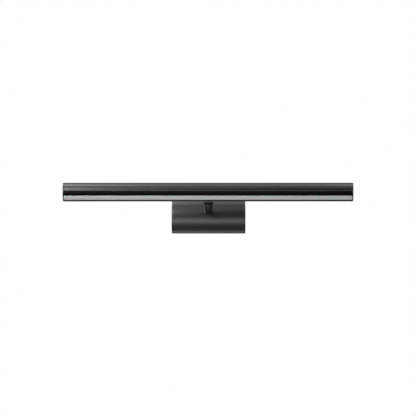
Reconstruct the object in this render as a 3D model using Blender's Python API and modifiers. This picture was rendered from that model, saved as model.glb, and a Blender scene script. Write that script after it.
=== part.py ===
"""Vanity light bar.

A round bar with a frosted lens tilts on a knuckle at the end of a short stem. The stem stands on a
bowed backplate, which closes over a bracket that is screwed to the wall.

The wall is the plane y = 0 and the light stands out from it along -Y. +X runs along the bar and +Z
is up. The origin is on the wall, behind the middle of the backplate. A depth is a distance from the
wall, so it is -y.
"""
import math

import bmesh
import bpy
from mathutils import Matrix, Vector

MM = 0.001
GAP = 0.3 * MM                       # between pieces that touch

# ---- Light bar ----
BAR_LENGTH = 590 * MM
BAR_DIAMETER = 38.1 * MM
LENS_TILT = math.radians(62)         # lens axis below the horizontal, at rest
LENS_HALF_ANGLE = math.radians(17.3)
HOUSING_HALF_OPENING = math.radians(47.6)
HOUSING_WALL = 1.6 * MM
LENS_THICKNESS = 2.2 * MM
LENS_FOOT_THICKNESS = 1.5 * MM
LENS_FOOT_WIDTH = 1.6 * MM           # how far a foot reaches under the carrier's lip
CARRIER_WALL = 1.7 * MM
CARRIER_LIP = 1.2 * MM
WEB_THICKNESS = 2.0 * MM
BOARD_WIDTH = 14 * MM
BOARD_THICKNESS = 1.2 * MM
CHIP_COUNT = 36
CHIP_LENGTH = 3.5 * MM
CHIP_WIDTH = 2.8 * MM
CHIP_HEIGHT = 0.8 * MM
CAP_THICKNESS = 2.4 * MM
CAP_EDGE = 0.5 * MM
GASKET_THICKNESS = 0.6 * MM
CAP_SCREW_SPACING = 14 * MM
CAP_SCREW_LENGTH = 12 * MM
CAP_SCREW_HEAD = 5 * MM
CAP_SCREW_HEAD_HEIGHT = 0.85 * MM
CAP_SCREW_DROP = 1.8 * MM            # screw channels, behind the web's back
BOARD_END = 4 * MM                   # from the board's end to the extrusion's
BAR_LEAD_EXIT = 40 * MM              # where the lead goes through the web

# ---- Saddle, which holds the bar on the knuckle ----
SADDLE_END = 6 * MM                  # past its screws
SADDLE_HEIGHT = 18 * MM
SADDLE_THICKNESS = 3.15 * MM         # where it is thinnest
SADDLE_SCREW_HEAD = 6.4 * MM
SADDLE_SCREW_HEAD_HEIGHT = 2 * MM
SADDLE_SCREW_CLEARANCE = 0.8 * MM    # from the knuckle to the screws' heads
NUT_BAR_THICKNESS = 2.7 * MM
NUT_BAR_WIDTH = 11 * MM
GROMMET_HOLE = 8 * MM
GROMMET_FLANGE = 1.3 * MM            # how far it reaches past the hole
GROMMET_FLANGE_THICKNESS = 0.8 * MM

# ---- Knuckle ----
KNUCKLE_DIAMETER = 20 * MM
KNUCKLE_WALL = 2.0 * MM
KNUCKLE_RIM = 3.0 * MM               # round the pocket for the lead
KNUCKLE_CLEARANCE = 0.5 * MM         # from the turning halves to the saddle
NECK_DIAMETER = 14 * MM
NECK_LENGTH = 5.7 * MM               # from the collar to the knuckle
SPIGOT_LENGTH = 16 * MM
WIRE_BORE = 6 * MM
FRICTION_WASHER_THICKNESS = 0.7 * MM
PIVOT_DIAMETER = 4 * MM
PIVOT_HEAD = 7.2 * MM
PIVOT_HEAD_HEIGHT = 2.2 * MM
PIVOT_NUT_FLATS = 7 * MM
PIVOT_NUT_THICKNESS = 2.6 * MM
PIVOT_END = 0.6 * MM                 # past the nut
SPRING_WASHER_DIAMETER = 7.6 * MM
SPRING_WASHER_THICKNESS = 0.8 * MM
NECK_GROOVE = 0.8 * MM               # depth of the groove for the collar's screw

# ---- Stem ----
STEM_DIAMETER = 16 * MM
STEM_LENGTH = 50.4 * MM
STEM_WALL = 2.7 * MM
STEM_TENON = 4 * MM                  # the end of the tube that goes into the collar
FLANGE_DIAMETER = 19 * MM
FLANGE_THICKNESS = 2.7 * MM
COLLAR_DIAMETER = 20 * MM
COLLAR_LENGTH = 10 * MM
EDGE_CHAMFER = 0.6 * MM
NIPPLE_WALL = 1.5 * MM
NIPPLE_REACH = 12 * MM               # into the stem tube
LOCK_WASHER_THICKNESS = 1.0 * MM
LOCK_NUT_THICKNESS = 3.5 * MM
LOCK_NUT_FLATS = 14 * MM

# ---- Backplate and what is inside it ----
PLATE_WIDTH = 153.5 * MM
PLATE_HEIGHT = 76 * MM
PLATE_DEPTH = 27 * MM                # at the middle of its bowed face
PLATE_BOW = 13 * MM                  # how much less it is at the top and the bottom
PLATE_WALL = 1.5 * MM
PLATE_EDGE = 1.2 * MM
BRACKET_THICKNESS = 2.0 * MM
BRACKET_HEIGHT = 26 * MM
SLOT_SPACING = 83.3 * MM             # the wall box's screws
SLOT_LENGTH = 12 * MM
SLOT_WIDTH = 5 * MM
SIDE_SCREW_DEPTH = 7 * MM
SIDE_SCREW_LENGTH = 7 * MM
TAB_HEIGHT = 16 * MM
BEND_STEP = 0.2 * MM                 # a tab's outside, back from the strip's end
DRIVER_LENGTH = 80 * MM
DRIVER_HEIGHT = 19 * MM
DRIVER_THICKNESS = 9.5 * MM
DRIVER_CLEARANCE = 1.5 * MM          # above the bracket's strip
DRIVER_EAR = 7 * MM
EAR_THICKNESS = 2 * MM
EAR_INSET = 4 * MM                   # from the driver's long edges
TERMINAL_LENGTH = 30 * MM
TERMINAL_HEIGHT = 14 * MM
TERMINAL_THICKNESS = 9.5 * MM
TERMINAL_PITCH = 9 * MM
TERMINAL_ENTRY = 2.5 * MM            # depth of its wire holes
TERMINAL_CLEARANCE = 5 * MM          # below the bracket's strip
TERMINAL_FLOOR = 4 * MM              # under its screw's head
GROUND_SCREW = (28 * MM, -7 * MM)
GROUND_SCREW_HEAD = 7 * MM
GROUND_SCREW_HEAD_HEIGHT = 2 * MM
SCREW_HEAD = 5.2 * MM                # of the M3 screws into the bracket
SCREW_HEAD_HEIGHT = 1.8 * MM
SCREW_RECESS = 0.5 * MM              # from the wall to the end of a screw in the bracket
LEAD_DEPTH = 7.5 * MM                # leads inside the backplate
LEAD_DIAMETER = 2.0 * MM
CORD_DIAMETER = 3.0 * MM             # the two-core leads to the bar

# ---- Fasteners: shank diameters ----
M3 = 3 * MM
M4 = 4 * MM

# ---- Worked out from the sizes above ----
BAR_RADIUS = BAR_DIAMETER / 2
STEM_RADIUS = STEM_DIAMETER / 2
STEM_BORE = STEM_RADIUS - STEM_WALL
COLLAR_BORE = NECK_DIAMETER / 2 + GAP
KNUCKLE_RADIUS = KNUCKLE_DIAMETER / 2
NECK_RADIUS = NECK_DIAMETER / 2

FLANGE_BACK = PLATE_DEPTH + GAP
FLANGE_FRONT = FLANGE_BACK + FLANGE_THICKNESS
STEM_BACK = FLANGE_FRONT + GAP
STEM_FRONT = STEM_BACK + STEM_LENGTH
COLLAR_BACK = STEM_FRONT + GAP
COLLAR_FRONT = COLLAR_BACK + COLLAR_LENGTH
TENON_FRONT = COLLAR_BACK + STEM_TENON
NECK_BACK = TENON_FRONT + GAP
NECK_FRONT = COLLAR_FRONT + NECK_LENGTH
PIVOT_DEPTH = NECK_FRONT + GAP + KNUCKLE_RADIUS
SADDLE_BACK = PIVOT_DEPTH + KNUCKLE_RADIUS + KNUCKLE_CLEARANCE
BAR_DEPTH = SADDLE_BACK + SADDLE_THICKNESS + GAP + BAR_RADIUS

HALF_FACE = FRICTION_WASHER_THICKNESS / 2 + GAP      # x where each half of the knuckle starts
POCKET_RADIUS = KNUCKLE_RADIUS - KNUCKLE_RIM
SADDLE_SCREW_X = KNUCKLE_RADIUS + SADDLE_SCREW_CLEARANCE + SADDLE_SCREW_HEAD / 2
SADDLE_HALF = SADDLE_SCREW_X + SADDLE_END
EXTRUSION_HALF = BAR_LENGTH / 2 - CAP_THICKNESS - GAP
BAND_RADIUS = BAR_RADIUS - GAP                       # carrier and lens, just inside the housing
HOUSING_BORE = BAR_RADIUS - HOUSING_WALL
RAIL_RADIUS = HOUSING_BORE - GAP                     # carrier, where it is under the housing
CHANNEL_RADIUS = M3 / 2 + 1.5 * MM                   # outside of a screw channel
NUT_BAR_DEPTH = BAR_DEPTH - HOUSING_BORE + 2.2 * MM  # its face towards the wall
PLATE_INSIDE = PLATE_DEPTH - PLATE_WALL
PLATE_RADIUS = ((PLATE_HEIGHT / 2) ** 2 + PLATE_BOW ** 2) / (2 * PLATE_BOW)
BRACKET_HALF = PLATE_WIDTH / 2 - PLATE_WALL - GAP
LOCK_WASHER_RADIUS = LOCK_NUT_FLATS / 2 + MM
VAULT_RADIUS = PLATE_RADIUS - PLATE_WALL             # inside of the bowed face
VAULT_DROP = VAULT_RADIUS - math.sqrt(VAULT_RADIUS ** 2 - LOCK_WASHER_RADIUS ** 2)
LOCK_WASHER_FRONT = PLATE_INSIDE - VAULT_DROP - GAP
LOCK_NUT_FRONT = LOCK_WASHER_FRONT - LOCK_WASHER_THICKNESS - GAP
LOCK_NUT_BACK = LOCK_NUT_FRONT - LOCK_NUT_THICKNESS
DRIVER_BASE = BRACKET_HEIGHT / 2 + DRIVER_CLEARANCE
DRIVER_MIDDLE = DRIVER_BASE + DRIVER_HEIGHT / 2
DRIVER_SCREW_X = DRIVER_LENGTH / 2 + DRIVER_EAR / 2
TERMINAL_TOP = -BRACKET_HEIGHT / 2 - TERMINAL_CLEARANCE
TERMINAL_MIDDLE = TERMINAL_TOP - TERMINAL_HEIGHT / 2
ON_BRACKET = BRACKET_THICKNESS + GAP

# Axes of the bar's section: along the lens axis, across it, and along the bar.
LENS_AXIS = Vector((0, -math.cos(LENS_TILT), -math.sin(LENS_TILT)))
ACROSS_LENS = Vector((0, -math.sin(LENS_TILT), math.cos(LENS_TILT)))
BAR_CENTRE = Vector((0, -BAR_DEPTH, 0))
PIVOT = Vector((0, -PIVOT_DEPTH, 0))


# ---------------------------------------------------------------- Scene and materials

def clear_scene():
    for obj in list(bpy.data.objects):
        bpy.data.objects.remove(obj, do_unlink=True)


def make_collection(name):
    collection = bpy.data.collections.new(name)
    bpy.context.scene.collection.children.link(collection)
    return collection


def make_material(name, colour, roughness, metallic):
    material = bpy.data.materials.new(name)
    material.use_nodes = True
    shader = material.node_tree.nodes["Principled BSDF"]
    shader.inputs["Base Color"].default_value = (*colour, 1)
    shader.inputs["Roughness"].default_value = roughness
    shader.inputs["Metallic"].default_value = metallic
    material.diffuse_color = (*colour, 1)
    return material


clear_scene()
PARTS = make_collection("vanity_light_bar")
CUTTERS = make_collection("cutters")

MATERIALS = {
    "satin_gunmetal": make_material("satin_gunmetal", (0.11, 0.112, 0.107), 0.36, 1.0),
    "black_aluminium": make_material("black_aluminium", (0.02, 0.02, 0.019), 0.42, 0.8),
    "opal_lens": make_material("opal_lens", (0.62, 0.63, 0.61), 0.5, 0.0),
    "zinc_steel": make_material("zinc_steel", (0.55, 0.56, 0.57), 0.35, 1.0),
    "black_screw": make_material("black_screw", (0.03, 0.03, 0.03), 0.4, 0.9),
    "brass": make_material("brass", (0.65, 0.5, 0.22), 0.3, 1.0),
    "white_plastic": make_material("white_plastic", (0.78, 0.78, 0.76), 0.5, 0.0),
    "black_rubber": make_material("black_rubber", (0.02, 0.02, 0.02), 0.8, 0.0),
    "green_wire": make_material("green_wire", (0.05, 0.3, 0.1), 0.5, 0.0),
    "black_wire": make_material("black_wire", (0.03, 0.03, 0.03), 0.5, 0.0),
    "white_wire": make_material("white_wire", (0.75, 0.75, 0.73), 0.5, 0.0),
    "board_white": make_material("board_white", (0.85, 0.85, 0.83), 0.45, 0.0),
}


# ---------------------------------------------------------------- Shape makers

def link(name, data):
    obj = bpy.data.objects.new(name, data)
    PARTS.objects.link(obj)
    return obj


def shade_smooth(mesh, angle=35):
    mesh.shade_smooth()
    mesh.set_sharp_from_angle(angle=math.radians(angle))


def box(name, low, high):
    """A box between two corners."""
    low, high = Vector(low), Vector(high)
    mesh = bpy.data.meshes.new(name)
    shape = bmesh.new()
    size = high - low
    place = Matrix.Translation((low + high) / 2) @ Matrix.Diagonal((*size, 1))
    bmesh.ops.create_cube(shape, size=1, matrix=place)
    shape.to_mesh(mesh)
    shape.free()
    return link(name, mesh)


def rod(name, radius, start, end, segments=24):
    """A cylinder, or a prism when it has few segments, between two points."""
    start, end = Vector(start), Vector(end)
    run = end - start
    place = Matrix.Translation((start + end) / 2) @ run.to_track_quat('Z', 'Y').to_matrix().to_4x4()
    mesh = bpy.data.meshes.new(name)
    shape = bmesh.new()
    bmesh.ops.create_cone(shape, cap_ends=True, segments=segments, radius1=radius, radius2=radius,
                          depth=run.length, matrix=place)
    shape.to_mesh(mesh)
    shape.free()
    shade_smooth(mesh)
    return link(name, mesh)


def turned(name, profile, closed=False, start=(0, 0, 0), axis=(0, -1, 0), steps=32):
    """A shape turned about an axis. Its profile is (radius, distance along the axis) and runs down
    the outer side, from far to near; a closed profile makes a ring."""
    mesh = bpy.data.meshes.new(name)
    shape = bmesh.new()
    corners = [shape.verts.new((radius, 0, height)) for radius, height in profile]
    for first, second in zip(corners, corners[1:] + corners[:1] if closed else corners[1:]):
        shape.edges.new((first, second))
    shape.to_mesh(mesh)
    shape.free()
    obj = link(name, mesh)
    obj.location = start
    obj.rotation_euler = Vector(axis).to_track_quat('Z', 'Y').to_euler()
    screw = obj.modifiers.new("Turn", 'SCREW')
    screw.axis = 'Z'
    screw.angle = math.tau
    screw.steps = steps
    screw.render_steps = steps
    screw.use_merge_vertices = True
    screw.merge_threshold = 0.00001
    screw.use_smooth_shade = True
    return obj


def ring_profile(outer, inner, front, back, chamfer=0.0):
    """The closed profile of a ring, with both outer edges chamfered."""
    if chamfer:
        side = [(outer - chamfer, front), (outer, front - chamfer), (outer, back + chamfer),
                (outer - chamfer, back)]
    else:
        side = [(outer, front), (outer, back)]
    return side + [(inner, back), (inner, front)]


def extruded(name, outlines, back, front, place):
    """Flat outlines in a placement's XY plane, drawn out along its Z from back to front."""
    curve = bpy.data.curves.new(name, 'CURVE')
    curve.dimensions = '2D'
    curve.fill_mode = 'BOTH'
    curve.extrude = (front - back) / 2
    for outline in outlines:
        spline = curve.splines.new('POLY')
        spline.points.add(len(outline) - 1)
        for point, (x, y) in zip(spline.points, outline):
            point.co = (x, y, 0, 1)
        spline.use_cyclic_u = True
    source = link(name + "_outline", curve)
    source.matrix_world = place @ Matrix.Translation((0, 0, (front + back) / 2))
    return as_mesh(source, name)


def as_mesh(source, name):
    """The mesh of a curve object, welded, in place of the curve."""
    evaluated = source.evaluated_get(bpy.context.evaluated_depsgraph_get())
    mesh = bpy.data.meshes.new_from_object(evaluated)
    mesh.name = name
    shape = bmesh.new()
    shape.from_mesh(mesh)
    bmesh.ops.remove_doubles(shape, verts=shape.verts, dist=0.000001)
    bmesh.ops.recalc_face_normals(shape, faces=shape.faces)
    shape.to_mesh(mesh)
    shape.free()
    shade_smooth(mesh)
    obj = link(name, mesh)
    obj.matrix_world = source.matrix_world
    curve = source.data
    bpy.data.objects.remove(source, do_unlink=True)
    bpy.data.curves.remove(curve)
    return obj


def smooth_route(points, steps=3):
    """Points along a smooth curve through the given ones."""
    points = [Vector(point) for point in points]
    padded = [2 * points[0] - points[1]] + points + [2 * points[-1] - points[-2]]
    route = []
    for before, start, end, after in zip(padded, padded[1:], padded[2:], padded[3:]):
        for step in range(steps):
            t = step / steps
            route.append(0.5 * (2 * start + (end - before) * t
                                + (2 * before - 5 * start + 4 * end - after) * t ** 2
                                + (3 * start - before - 3 * end + after) * t ** 3))
    return route + [points[-1]]


def wire(name, diameter, points):
    """A wire through the given points."""
    curve = bpy.data.curves.new(name, 'CURVE')
    curve.dimensions = '3D'
    curve.bevel_depth = diameter / 2
    curve.bevel_resolution = 2
    curve.use_fill_caps = True
    route = smooth_route(points)
    spline = curve.splines.new('POLY')
    spline.points.add(len(route) - 1)
    for point, place in zip(spline.points, route):
        point.co = (*place, 1)
    return as_mesh(link(name + "_route", curve), name)


def boolean(target, tool, operation):
    """Cut a tool out of a target, or join it on, and put the tool away."""
    modifier = target.modifiers.new(tool.name, 'BOOLEAN')
    modifier.operation = operation
    modifier.solver = 'EXACT'
    modifier.object = tool
    tool.hide_render = True
    tool.display_type = 'WIRE'
    PARTS.objects.unlink(tool)
    CUTTERS.objects.link(tool)


def cut(target, *tools):
    for tool in tools:
        boolean(target, tool, 'DIFFERENCE')


def join(target, *tools):
    for tool in tools:
        boolean(target, tool, 'UNION')


def soften(obj, width, segments=2):
    """Round the sharp edges of a box."""
    bevel = obj.modifiers.new("Edges", 'BEVEL')
    bevel.width = width
    bevel.segments = segments
    bevel.limit_method = 'ANGLE'


def rounded_slot(centre, length, width, steps=8):
    """The outline of a slot along X with round ends."""
    reach = (length - width) / 2
    points = []
    for side, first in ((1, -math.pi / 2), (-1, math.pi / 2)):
        for step in range(steps + 1):
            turn = first + math.pi * step / steps
            points.append((centre[0] + side * reach + width / 2 * math.cos(turn),
                           centre[1] + width / 2 * math.sin(turn)))
    return points


def circle(centre, radius, steps=24):
    return [(centre[0] + radius * math.cos(math.tau * step / steps),
             centre[1] + radius * math.sin(math.tau * step / steps)) for step in range(steps)]


def machine_screw(name, seat, axis, diameter, length, head_diameter, head_height):
    """A socket-head screw. Its head sits on the seat, and its shank runs on along the axis."""
    shank = diameter / 2 - GAP
    head = head_diameter / 2
    profile = [(0, head_height), (head, head_height), (head, 0), (shank, 0), (shank, -length),
               (0, -length)]
    out = -Vector(axis)
    screw = turned(name, profile, start=seat, axis=out, steps=16)
    seat = Vector(seat)
    socket = rod(name + "_socket", head * 0.5, seat + out * head_height * 0.4,
                 seat + out * head_height * 1.5, segments=6)
    cut(screw, socket)
    return screw


def hex_nut(name, flats, bore, start, end):
    nut = rod(name, flats / math.sqrt(3), start, end, segments=6)
    run = (Vector(end) - Vector(start)).normalized() * MM
    cut(nut, rod(name + "_bore", bore, Vector(start) - run, Vector(end) + run))
    return nut


# ---------------------------------------------------------------- Bar section

SECTION = Matrix.Translation(BAR_CENTRE) @ Matrix((
    (0, 0, 1, 0), (ACROSS_LENS.y, LENS_AXIS.y, 0, 0), (ACROSS_LENS.z, LENS_AXIS.z, 0, 0),
    (0, 0, 0, 1)))
FLAT = Matrix.Rotation(math.pi / 2, 4, 'X')          # outlines in X and Z, drawn out from the wall


def arc(radius, start, end, centre=(0, 0), step=math.radians(5)):
    """Points on an arc of the section. Angles are measured from the lens axis."""
    count = max(1, round(abs(end - start) / step))
    angles = [start + (end - start) * index / count for index in range(count + 1)]
    return [(centre[0] + radius * math.sin(angle), centre[1] + radius * math.cos(angle))
            for angle in angles]


def mirrored(half):
    """A closed outline from the half of it on one side of the lens axis."""
    return half + [(-x, y) for x, y in reversed(half)]


def section_place(x, across, along):
    """A point in the object's frame from its place along the bar and in the section."""
    return SECTION @ Vector((across, along, x))


def housing_outline():
    start, end = HOUSING_HALF_OPENING, math.tau - HOUSING_HALF_OPENING
    return arc(BAR_RADIUS, start, end) + arc(HOUSING_BORE, end, start)


def lens_groove():
    """Angle of the groove's end, from the lens's own sizes."""
    return LENS_HALF_ANGLE + (LENS_FOOT_WIDTH + GAP) / BAND_RADIUS


def lens_outline():
    foot_top = BAND_RADIUS - CARRIER_LIP - GAP
    foot_end = LENS_HALF_ANGLE + LENS_FOOT_WIDTH / BAND_RADIUS
    foot_inside = foot_top - LENS_FOOT_THICKNESS
    root = LENS_HALF_ANGLE * 0.9
    half = arc(BAND_RADIUS, 0, LENS_HALF_ANGLE, step=math.radians(3))
    half += arc(foot_top, LENS_HALF_ANGLE, foot_end)
    half += arc(foot_inside, foot_end, root)
    half += arc(BAND_RADIUS - LENS_THICKNESS, root, 0)
    return mirrored(half[1:-1])


def carrier_outline():
    """Web, arms and screw channels. The arms carry the bands on each side of the lens."""
    wall_gap = GAP / BAR_RADIUS
    groove_floor = BAND_RADIUS - CARRIER_LIP - 2 * GAP - LENS_FOOT_THICKNESS
    ledge_inside = groove_floor - CARRIER_LIP
    arm_inside = min(RAIL_RADIUS - CARRIER_WALL, groove_floor)
    channel = CAP_SCREW_SPACING / 2
    reach = math.asin(CAP_SCREW_DROP / CHANNEL_RADIUS)
    lip_end = LENS_HALF_ANGLE + wall_gap
    ledge_root = lens_groove() + CARRIER_LIP / BAND_RADIUS
    half = arc(CHANNEL_RADIUS, reach - math.pi / 2, -reach - 1.5 * math.pi, (channel, -CAP_SCREW_DROP),
               math.radians(24))
    half += arc(RAIL_RADIUS, math.pi / 2, HOUSING_HALF_OPENING - wall_gap)
    half += arc(BAND_RADIUS, HOUSING_HALF_OPENING - wall_gap, lip_end)
    half += arc(BAND_RADIUS - CARRIER_LIP, lip_end, lens_groove())
    half += arc(groove_floor, lens_groove(), lip_end)
    half += arc(ledge_inside, lip_end, ledge_root)
    half += arc(arm_inside, ledge_root, math.acos(WEB_THICKNESS / arm_inside))
    return mirrored(half)


def bar_extrusion(name, outlines):
    return extruded(name, outlines, -EXTRUSION_HALF, EXTRUSION_HALF, SECTION)


# ---------------------------------------------------------------- Light bar

def make_housing():
    housing = bar_extrusion("bar_housing", [housing_outline()])
    reach = BAR_DEPTH - SADDLE_BACK
    for index, x in enumerate((-SADDLE_SCREW_X, SADDLE_SCREW_X)):
        cut(housing, rod(f"housing_screw_hole_{index}", M4 / 2 + GAP, (x, -SADDLE_BACK, 0),
                         (x, -BAR_DEPTH + reach / 2, 0)))
    cut(housing, rod("housing_wire_hole", GROMMET_HOLE / 2, (0, -SADDLE_BACK, 0),
                     (0, -BAR_DEPTH + reach / 2, 0)))
    return housing


def make_carrier():
    channel = CAP_SCREW_SPACING / 2
    holes = [circle((side * channel, -CAP_SCREW_DROP), M3 / 2, 16) for side in (-1, 1)]
    carrier = bar_extrusion("led_carrier", [carrier_outline()] + holes)
    hole = rod("carrier_wire_hole", CORD_DIAMETER / 2 + MM, section_place(BAR_LEAD_EXIT, 0, -MM),
               section_place(BAR_LEAD_EXIT, 0, WEB_THICKNESS + MM))
    cut(carrier, hole)
    return carrier


def make_board():
    base = WEB_THICKNESS + GAP
    half = EXTRUSION_HALF - BOARD_END
    outline = [(-BOARD_WIDTH / 2, base), (BOARD_WIDTH / 2, base),
               (BOARD_WIDTH / 2, base + BOARD_THICKNESS), (-BOARD_WIDTH / 2, base + BOARD_THICKNESS)]
    board = extruded("led_board", [outline], -half, half, SECTION)
    pitch = 2 * half / CHIP_COUNT
    sunk = base + BOARD_THICKNESS / 2
    top = base + BOARD_THICKNESS + CHIP_HEIGHT
    chip = [(-CHIP_WIDTH / 2, sunk), (CHIP_WIDTH / 2, sunk), (CHIP_WIDTH / 2, top),
            (-CHIP_WIDTH / 2, top)]
    first = -half + pitch / 2
    chips = extruded("led_chips", [chip], first - CHIP_LENGTH / 2, first + CHIP_LENGTH / 2, SECTION)
    row = chips.modifiers.new("Row", 'ARRAY')
    row.count = CHIP_COUNT
    row.use_relative_offset = False
    row.use_constant_offset = True
    row.constant_offset_displace = (0, 0, pitch)
    join(board, chips)
    return board


def make_end(side, word):
    """The cap, gasket and screws at one end of the bar."""
    outer = BAR_LENGTH / 2
    axis = (side, 0, 0)
    pocket = GASKET_THICKNESS + GAP
    inside = outer - CAP_THICKNESS
    profile = [(0, outer), (BAR_RADIUS - CAP_EDGE, outer), (BAR_RADIUS, outer - CAP_EDGE),
               (BAR_RADIUS, inside), (HOUSING_BORE, inside), (HOUSING_BORE, inside + pocket),
               (0, inside + pocket)]
    centre = (0, BAR_CENTRE.y, BAR_CENTRE.z)
    cap = turned(f"end_cap_{word}", profile, start=centre, axis=axis, steps=48)
    gasket_radius = HOUSING_BORE - GAP
    gasket = turned(f"end_gasket_{word}", [(0, inside + GASKET_THICKNESS),
                                           (gasket_radius, inside + GASKET_THICKNESS),
                                           (gasket_radius, inside), (0, inside)],
                    start=centre, axis=axis, steps=32)
    seat = outer - CAP_SCREW_HEAD_HEIGHT - GAP / 2
    pieces = [(cap, "satin_gunmetal"), (gasket, "black_rubber")]
    for place, across in (("front", CAP_SCREW_SPACING / 2), ("back", -CAP_SCREW_SPACING / 2)):
        seat_point = section_place(side * seat, across, -CAP_SCREW_DROP)
        far = section_place(side * (outer + MM), across, -CAP_SCREW_DROP)
        near = section_place(side * (inside - MM), across, -CAP_SCREW_DROP)
        label = f"end_cap_screw_{word}_{place}"
        floor = section_place(side * (seat - GAP), across, -CAP_SCREW_DROP)
        cut(cap, rod(label + "_counterbore", CAP_SCREW_HEAD / 2 + GAP, floor, far, 20))
        cut(cap, rod(label + "_cap_hole", M3 / 2, near, far, 16))
        cut(gasket, rod(label + "_gasket_hole", M3 / 2, near, far, 16))
        screw = machine_screw(label, seat_point, (-side, 0, 0), M3, CAP_SCREW_LENGTH,
                              CAP_SCREW_HEAD, CAP_SCREW_HEAD_HEIGHT)
        pieces.append((screw, "black_screw"))
    return pieces


def make_lens():
    return bar_extrusion("diffuser", [lens_outline()])


def make_nut_bar():
    back, front = NUT_BAR_DEPTH, NUT_BAR_DEPTH + NUT_BAR_THICKNESS
    bar = box("nut_bar", (-SADDLE_HALF, -front, -NUT_BAR_WIDTH / 2),
              (SADDLE_HALF, -back, NUT_BAR_WIDTH / 2))
    for index, x in enumerate((-SADDLE_SCREW_X, SADDLE_SCREW_X)):
        cut(bar, rod(f"nut_bar_hole_{index}", M4 / 2, (x, -back + MM, 0), (x, -front - MM, 0), 20))
    cut(bar, rod("nut_bar_wire_hole", WIRE_BORE / 2, (0, -back + MM, 0), (0, -front - MM, 0)))
    return bar


def make_grommet():
    """A bush through the housing's wall, with a flange inside it."""
    body = GROMMET_HOLE / 2 - GAP
    flange = body + GROMMET_FLANGE
    bore = CORD_DIAMETER / 2 + GAP
    outer_end = BAR_DEPTH - math.sqrt(BAR_RADIUS ** 2 - body ** 2)
    drop = HOUSING_BORE - math.sqrt(HOUSING_BORE ** 2 - flange ** 2)
    step = BAR_DEPTH - HOUSING_BORE + drop + GAP
    inner_end = step + GROMMET_FLANGE_THICKNESS
    profile = [(flange, inner_end), (flange, step), (body, step), (body, outer_end),
               (bore, outer_end), (bore, inner_end)]
    return turned("wire_grommet", profile, closed=True, steps=24)


def make_bar_lead():
    """The lead inside the bar: from the knuckle, through the grommet and the web, to the board."""
    start = Vector((0, -(SADDLE_BACK + MM), 0))
    inside = Vector((0, -(NUT_BAR_DEPTH + NUT_BAR_THICKNESS), 0))
    behind_web = -CAP_SCREW_DROP - CHANNEL_RADIUS - CORD_DIAMETER
    return wire("bar_lead", CORD_DIAMETER, [
        start,
        Vector((0, -(NUT_BAR_DEPTH - MM), 0)),
        inside,
        section_place(6 * MM, -5 * MM, behind_web - MM),
        section_place(20 * MM, -MM, behind_web),
        section_place(BAR_LEAD_EXIT - 5 * MM, 0, behind_web * 0.7),
        section_place(BAR_LEAD_EXIT, 0, -MM),
        section_place(BAR_LEAD_EXIT, 0, WEB_THICKNESS / 2),
        section_place(BAR_LEAD_EXIT, 0, WEB_THICKNESS - GAP)])


# ---------------------------------------------------------------- Knuckle

def make_knuckle_half(name, side):
    """One half of the knuckle's drum, hollow and open towards the other half."""
    inner = side * HALF_FACE
    outer = side * KNUCKLE_RADIUS
    return rod(name, KNUCKLE_RADIUS, PIVOT + Vector((inner, 0, 0)), PIVOT + Vector((outer, 0, 0)), 32)


def hollow_knuckle_half(half, side):
    """The pocket for the lead and the hole for the pivot screw."""
    floor = side * (KNUCKLE_RADIUS - KNUCKLE_WALL)
    name = half.name
    cut(half, rod(name + "_pocket", POCKET_RADIUS, PIVOT, PIVOT + Vector((floor, 0, 0)), 24))
    cut(half, rod(name + "_pivot_hole", PIVOT_DIAMETER / 2 + GAP, PIVOT,
                  PIVOT + Vector((side * (KNUCKLE_RADIUS + MM), 0, 0)), 20))


def make_rear_knuckle():
    """Half drum, neck and spigot. The neck turns in the collar."""
    rear = make_knuckle_half("knuckle_rear", -1)
    spigot = STEM_BORE - GAP
    groove = NECK_RADIUS - NECK_GROOVE
    middle = (NECK_BACK + COLLAR_FRONT) / 2
    groove_half = M4 / 2 + GAP
    profile = [(0, NECK_FRONT), (NECK_RADIUS, NECK_FRONT), (NECK_RADIUS, middle + groove_half),
               (groove, middle + groove_half), (groove, middle - groove_half),
               (NECK_RADIUS, middle - groove_half), (NECK_RADIUS, NECK_BACK), (spigot, NECK_BACK),
               (spigot, TENON_FRONT - SPIGOT_LENGTH), (0, TENON_FRONT - SPIGOT_LENGTH)]
    neck = turned("rear_neck", profile, steps=24)
    web = box("rear_web", (-NECK_RADIUS, -PIVOT_DEPTH, -NECK_RADIUS * 0.7),
              (-HALF_FACE, -NECK_FRONT + MM, NECK_RADIUS * 0.7))
    join(rear, neck, web)
    hollow_knuckle_half(rear, -1)
    cut(rear, rod("rear_wire_bore", WIRE_BORE / 2, (0, -(TENON_FRONT - SPIGOT_LENGTH) + MM, 0), PIVOT))
    return rear


def make_front_knuckle():
    """Half drum and the saddle that holds the bar."""
    front = make_knuckle_half("knuckle_front", 1)
    web = box("front_web", (HALF_FACE, -(SADDLE_BACK + MM), -NECK_RADIUS),
              (KNUCKLE_RADIUS, -PIVOT_DEPTH, NECK_RADIUS))
    edge_depth = BAR_DEPTH - math.sqrt((BAR_RADIUS + GAP) ** 2 - (SADDLE_HEIGHT / 2) ** 2)
    saddle = box("saddle_block", (-SADDLE_HALF, -edge_depth, -SADDLE_HEIGHT / 2),
                 (SADDLE_HALF, -SADDLE_BACK, SADDLE_HEIGHT / 2))
    soften(saddle, 0.8 * MM)
    join(front, web, saddle)
    end = SADDLE_HALF + MM
    cut(front, rod("saddle_hollow", BAR_RADIUS + GAP, BAR_CENTRE - Vector((end, 0, 0)),
                   BAR_CENTRE + Vector((end, 0, 0)), 90))
    hollow_knuckle_half(front, 1)
    cut(front, rod("front_wire_bore", WIRE_BORE / 2, PIVOT, (0, -edge_depth - MM, 0)))
    for index, x in enumerate((-SADDLE_SCREW_X, SADDLE_SCREW_X)):
        cut(front, rod(f"saddle_screw_hole_{index}", M4 / 2 + GAP, (x, -SADDLE_BACK + MM, 0),
                       (x, -edge_depth - MM, 0), 20))
    return front


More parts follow.
